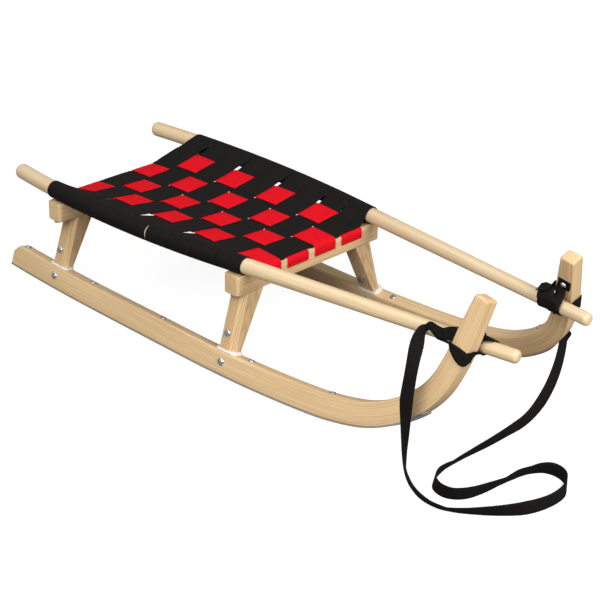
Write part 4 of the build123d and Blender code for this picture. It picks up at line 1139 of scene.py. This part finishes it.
class SLED_OT_tow_strap(bpy.types.Operator):
    """Tow strap: a thin flat band along the route's spline, its width turned as the strap twists"""

    bl_idname = "sled.tow_strap"
    bl_label = "Tow strap"

    def execute(self, context):
        material = web_material("tow_webbing", context.scene.sled_seat.black, STRAP_SHADE)
        control = np.array([row[:3] for row in TOW_ROUTE], float)
        line = route_points(control)
        run = run_length(line)
        near = np.argmin(np.linalg.norm(line[None] - control[:, None], axis=2), axis=1)
        place = np.maximum.accumulate(run[near] + np.arange(len(near)) * PLACE_STEP)
        across = np.stack([np.interp(run, place, part) for part in strap_stand(control).T], 1)
        travel = unit(np.gradient(line, axis=0))
        across = unit(across - (across * travel).sum(1, keepdims=True) * travel)
        lying_z = STRAP_WIDTH / 2 * np.abs(across[:, 2]) + STRAP_THICK / 2 + FLOOR_GAP
        line[:, 2] = np.where(line[:, 2] < TOW_LYING, lying_z, np.maximum(line[:, 2], lying_z))
        width = np.interp(run, *TOW_GATHER)[:, None]
        rings = ribbon_rings(line, np.cross(across, travel), width, STRAP_THICK)
        mesh = tube_mesh("tow_webbing_strap", rings)
        piece = dress(mesh, material, "strap_webbing", "tow_strap")
        return {"FINISHED"}


class SLED_OT_solid_finishes(bpy.types.Operator):
    """Finishes of the solids that stay: legs, pads, strips and fasteners"""

    bl_idname = "sled.solid_finishes"
    bl_label = "Legs, pads and fasteners"

    def execute(self, context):
        wood = context.scene.sled_wood
        for side, name in SIDES:
            turn = (-side * LEAN, np.pi / 2, 0)
            for end in LEG_FOOT_X:
                leg = f"leg_{end}_{name}"
                centre = np.mean([tuple(corner) for corner in NODES[leg].bound_box], axis=0)
                material = wood_material(f"ash_{leg}", wood.pale, wood.leg_band, turn, centre)
                paint((leg,), material)
        paint([n for n in NODES if n.startswith("foot_pad")], pad_material())
        paint(("strip_right", "strip_left"), steel_material("strip_steel", *STRIP_STEEL))
        fasteners = [n for n in NODES if "bolts" in n or "nuts" in n or "screw" in n]
        paint(fasteners, steel_material("fastener_steel", *FASTENER_STEEL))
        return {"FINISHED"}


class SLED_OT_crossbars(bpy.types.Operator):
    """Crossbars: a rounded square carried across the sled, drawn in by a quarter turn at both ends"""

    bl_idname = "sled.crossbars"
    bl_label = "Crossbars"

    def execute(self, context):
        wood = context.scene.sled_wood
        material = wood_material("ash_bar", wood.pale, wood.band, turn=(0, 0, -np.pi / 2))
        turn = quarter(END_STATIONS)
        corner = (np.radians([[0], [90], [180], [270]]) + quarter(CORNER_STATIONS)).ravel()
        way_x = np.repeat((1, -1, -1, 1), CORNER_STATIONS)
        way_z = np.repeat((1, 1, -1, -1), CORNER_STATIONS)
        section_z = way_z * (BAR_HEIGHT / 2 - BAR_EDGE) + BAR_EDGE * np.sin(corner)
        for name, half in BAR_HALF.items():
            end = half - BAR_END_ROUND * (1 - np.sin(turn))
            y = np.concatenate([-end[::-1], np.linspace(-end[0], end[0], BAR_STATIONS)[1:-1], end])
            reach = np.full_like(y, BAR_DEPTH / 2 - BAR_EDGE)
            reach[-END_STATIONS:] -= BAR_END_ROUND * (1 - np.cos(turn))
            reach[:END_STATIONS] = reach[::-1][:END_STATIONS]
            x = BAR_X[name] + way_x * reach[:, None] + BAR_EDGE * np.cos(corner)
            z = BAR_TOP[name] - BAR_HEIGHT / 2 + section_z
            rings = np.stack(np.broadcast_arrays(x, y[:, None], z), -1)
            mesh = tube_mesh(f"crossbar_wood_{name}", rings, flip=True)
            dress(mesh, material, "ash_wood", f"crossbar_{name}")
        return {"FINISHED"}


def dome_mesh(name, places, side, radius, height, way):
    """Closed domes on side-frame places (x, up the lean, outward): rings of a superellipse, where the
    powers of radius and height over their full sizes add up to one; way is 1 outwards and -1 inwards."""
    turn = quarter(END_STATIONS)[:, None]
    angle = full_turn(DOME_SIDES)
    r = radius * np.maximum(np.cos(turn), DOME_POLE) ** (2 / DOME_POWER)
    h = height * np.sin(turn) ** (2 / DOME_POWER)
    x, v, w = (np.asarray(column, float)[:, None, None] for column in zip(*places))
    points = side_points(x + r * np.cos(angle), v + r * np.sin(angle), w + way * h + 0 * angle, side)
    quads, ends = ring_faces(END_STATIONS, DOME_SIDES, side * way > 0)[2:]
    faces = []
    for index in range(len(places)):
        first = index * END_STATIONS * DOME_SIDES
        faces += (quads + first).tolist() + (ends + first).tolist()
    mesh = bpy.data.meshes.new(name)
    mesh.from_pydata((points.reshape(-1, 3) * MM).tolist(), [], faces)
    return mesh


class SLED_OT_domes(bpy.types.Operator):
    """Domed heads of the side bolts and of the tail screws"""

    bl_idname = "sled.domes"
    bl_label = "Domed heads"

    def execute(self, context):
        material = bpy.data.materials["fastener_steel"]
        bolts = [(x + SIDE_BOLT_SHIFT, v, w) for x in LEG_FOOT_X.values() for v, w in SIDE_BOLT_PLACES]
        screw = np.stack(horn_places([TAIL_SCREW]), 1)
        heads = (("bolt", bolts, SIDE_DOME, 1), ("screw", screw, SCREW_DOME, -1))
        for side, name in SIDES:
            for label, places, size, way in heads:
                mesh = dome_mesh(f"{label}_domes_{name}", places, side, *size, way)
                dress(mesh, material, "fastener_steel")
        return {"FINISHED"}


def stand(scene, data, x_axis, y_axis, z_axis, place):
    """Links a lamp or camera at a place, with its own axes turned to the given ones."""
    holder = bpy.data.objects.new(data.name, data)
    scene.collection.objects.link(holder)
    turn = np.eye(4)
    turn[:3] = np.stack([x_axis, y_axis, z_axis, place], 1)
    holder.matrix_world = Matrix(turn.tolist())
    return holder


def stage_floor(scene):
    """White floor: the camera sees a glow with the shadow on it, and other rays a plain grey."""
    mesh = bpy.data.meshes.new("floor")
    corners = [(x * FLOOR_HALF, y * FLOOR_HALF, 0) for x, y in ((-1, -1), (1, -1), (1, 1), (-1, 1))]
    mesh.from_pydata(corners, [], [(0, 1, 2, 3)])
    floor = bpy.data.objects.new("floor", mesh)
    scene.collection.objects.link(floor)
    material, tree = new_material("studio_floor")[:2]
    tree.nodes.clear()
    seen = node(tree, "ShaderNodeLightPath").outputs["Is Camera Ray"]
    plain = node(tree, "ShaderNodeBsdfDiffuse", {"Color": FLOOR_BOUNCE}).outputs[0]
    shade = node(tree, "ShaderNodeBsdfDiffuse", {"Color": FLOOR_SHADE}).outputs[0]
    glow = node(tree, "ShaderNodeEmission", {"Strength": FLOOR_GLOW}).outputs[0]
    both = node(tree, "ShaderNodeAddShader", {0: shade, 1: glow}).outputs[0]
    mix = node(tree, "ShaderNodeMixShader", {0: seen, 1: plain, 2: both}).outputs[0]
    node(tree, "ShaderNodeOutputMaterial", {"Surface": mix})
    mesh.materials.append(material)


def stage_world(scene):
    """World that is white to the camera, dimmer in reflections and dim as light."""
    world = bpy.data.worlds.new("studio")
    scene.world = world
    world.use_nodes = True
    tree = world.node_tree
    rays = node(tree, "ShaderNodeLightPath").outputs
    mirrored = math_node(tree, "MULTIPLY", rays["Is Glossy Ray"], WORLD_MIRRORED)
    seen = math_node(tree, "MAXIMUM", rays["Is Camera Ray"], mirrored)
    strength = math_node(tree, "MULTIPLY_ADD", seen, WORLD_SEEN, WORLD_LIGHT)
    feed(tree, tree.nodes["Background"], {"Color": (1, 1, 1, 1), "Strength": strength})


def stage_lamps(scene):
    """Soft square lamps, each turned to the sled."""
    for name, place, size, power in LAMPS:
        lamp = bpy.data.lights.new(name, "AREA")
        lamp.size = size
        lamp.energy = power
        away = unit(np.array(place) - LAMP_AIM)
        side = unit(np.cross([0, 0, 1.0], away))
        stand(scene, lamp, side, np.cross(away, side), away, place)


def stage_camera(scene):
    """Camera at its place, turned by azimuth, elevation and roll."""
    stage = scene.sled_stage
    camera = bpy.data.cameras.new("camera")
    camera.lens = stage.lens
    camera.sensor_width = SENSOR_WIDTH
    a, e, r = stage.azimuth, stage.elevation, stage.roll
    back = np.array([np.sin(a) * np.cos(e), -np.cos(a) * np.cos(e), np.sin(e)])
    level = np.array([np.cos(a), np.sin(a), 0])
    up = np.cross(back, level)
    right = np.cos(r) * level + np.sin(r) * up
    scene.camera = stand(scene, camera, right, np.cos(r) * up - np.sin(r) * level, back, stage.place)


class SLED_OT_stage(bpy.types.Operator):
    """Studio: white floor that keeps a soft shadow, white world, soft lamps and the camera"""

    bl_idname = "sled.stage"
    bl_label = "Stage"

    def execute(self, context):
        scene = context.scene
        stage_floor(scene)
        stage_world(scene)
        stage_lamps(scene)
        stage_camera(scene)
        scene.view_settings.view_transform = "Standard"
        return {"FINISHED"}


OPERATORS = (SLED_OT_runners, SLED_OT_rails, SLED_OT_cross_straps, SLED_OT_long_straps, SLED_OT_lashings,
             SLED_OT_tow_strap, SLED_OT_solid_finishes, SLED_OT_crossbars, SLED_OT_domes, SLED_OT_stage)


class SLED_PT_pieces(bpy.types.Panel):
    """Lists the sled's pieces and their settings"""

    bl_label = "Touring sled"
    bl_idname = "SLED_PT_pieces"
    bl_space_type = "VIEW_3D"
    bl_region_type = "UI"
    bl_category = "Sled"

    def draw(self, context):
        for item in OPERATORS:
            self.layout.operator(item.bl_idname)
        for group in (context.scene.sled_wood, context.scene.sled_seat, context.scene.sled_stage):
            for name in group.bl_rna.properties.keys():
                if name not in ("rna_type", "name"):
                    self.layout.prop(group, name)


GROUPS = (("sled_wood", SledWood), ("sled_seat", SledSeat), ("sled_stage", SledStage))


def register():
    """Registers the settings, operators and panel."""
    for name, group in GROUPS:
        bpy.utils.register_class(group)
        setattr(bpy.types.Scene, name, PointerProperty(type=group))
    for item in (*OPERATORS, SLED_PT_pieces):
        bpy.utils.register_class(item)


def unregister():
    """Takes them out again."""
    for item in (SLED_PT_pieces, *reversed(OPERATORS)):
        bpy.utils.unregister_class(item)
    for name, group in reversed(GROUPS):
        delattr(bpy.types.Scene, name)
        bpy.utils.unregister_class(group)


def main():
    register()
    grain_group()
    weave_group()
    bpy.ops.sled.runners()
    bpy.ops.sled.rails()
    bpy.ops.sled.cross_straps()
    bpy.ops.sled.long_straps()
    bpy.ops.sled.lashings()
    bpy.ops.sled.tow_strap()
    bpy.ops.sled.solid_finishes()
    bpy.ops.sled.crossbars()
    bpy.ops.sled.domes()
    bpy.ops.sled.stage()
    bpy.context.view_layer.update()


if __name__ == "__main__":
    main()
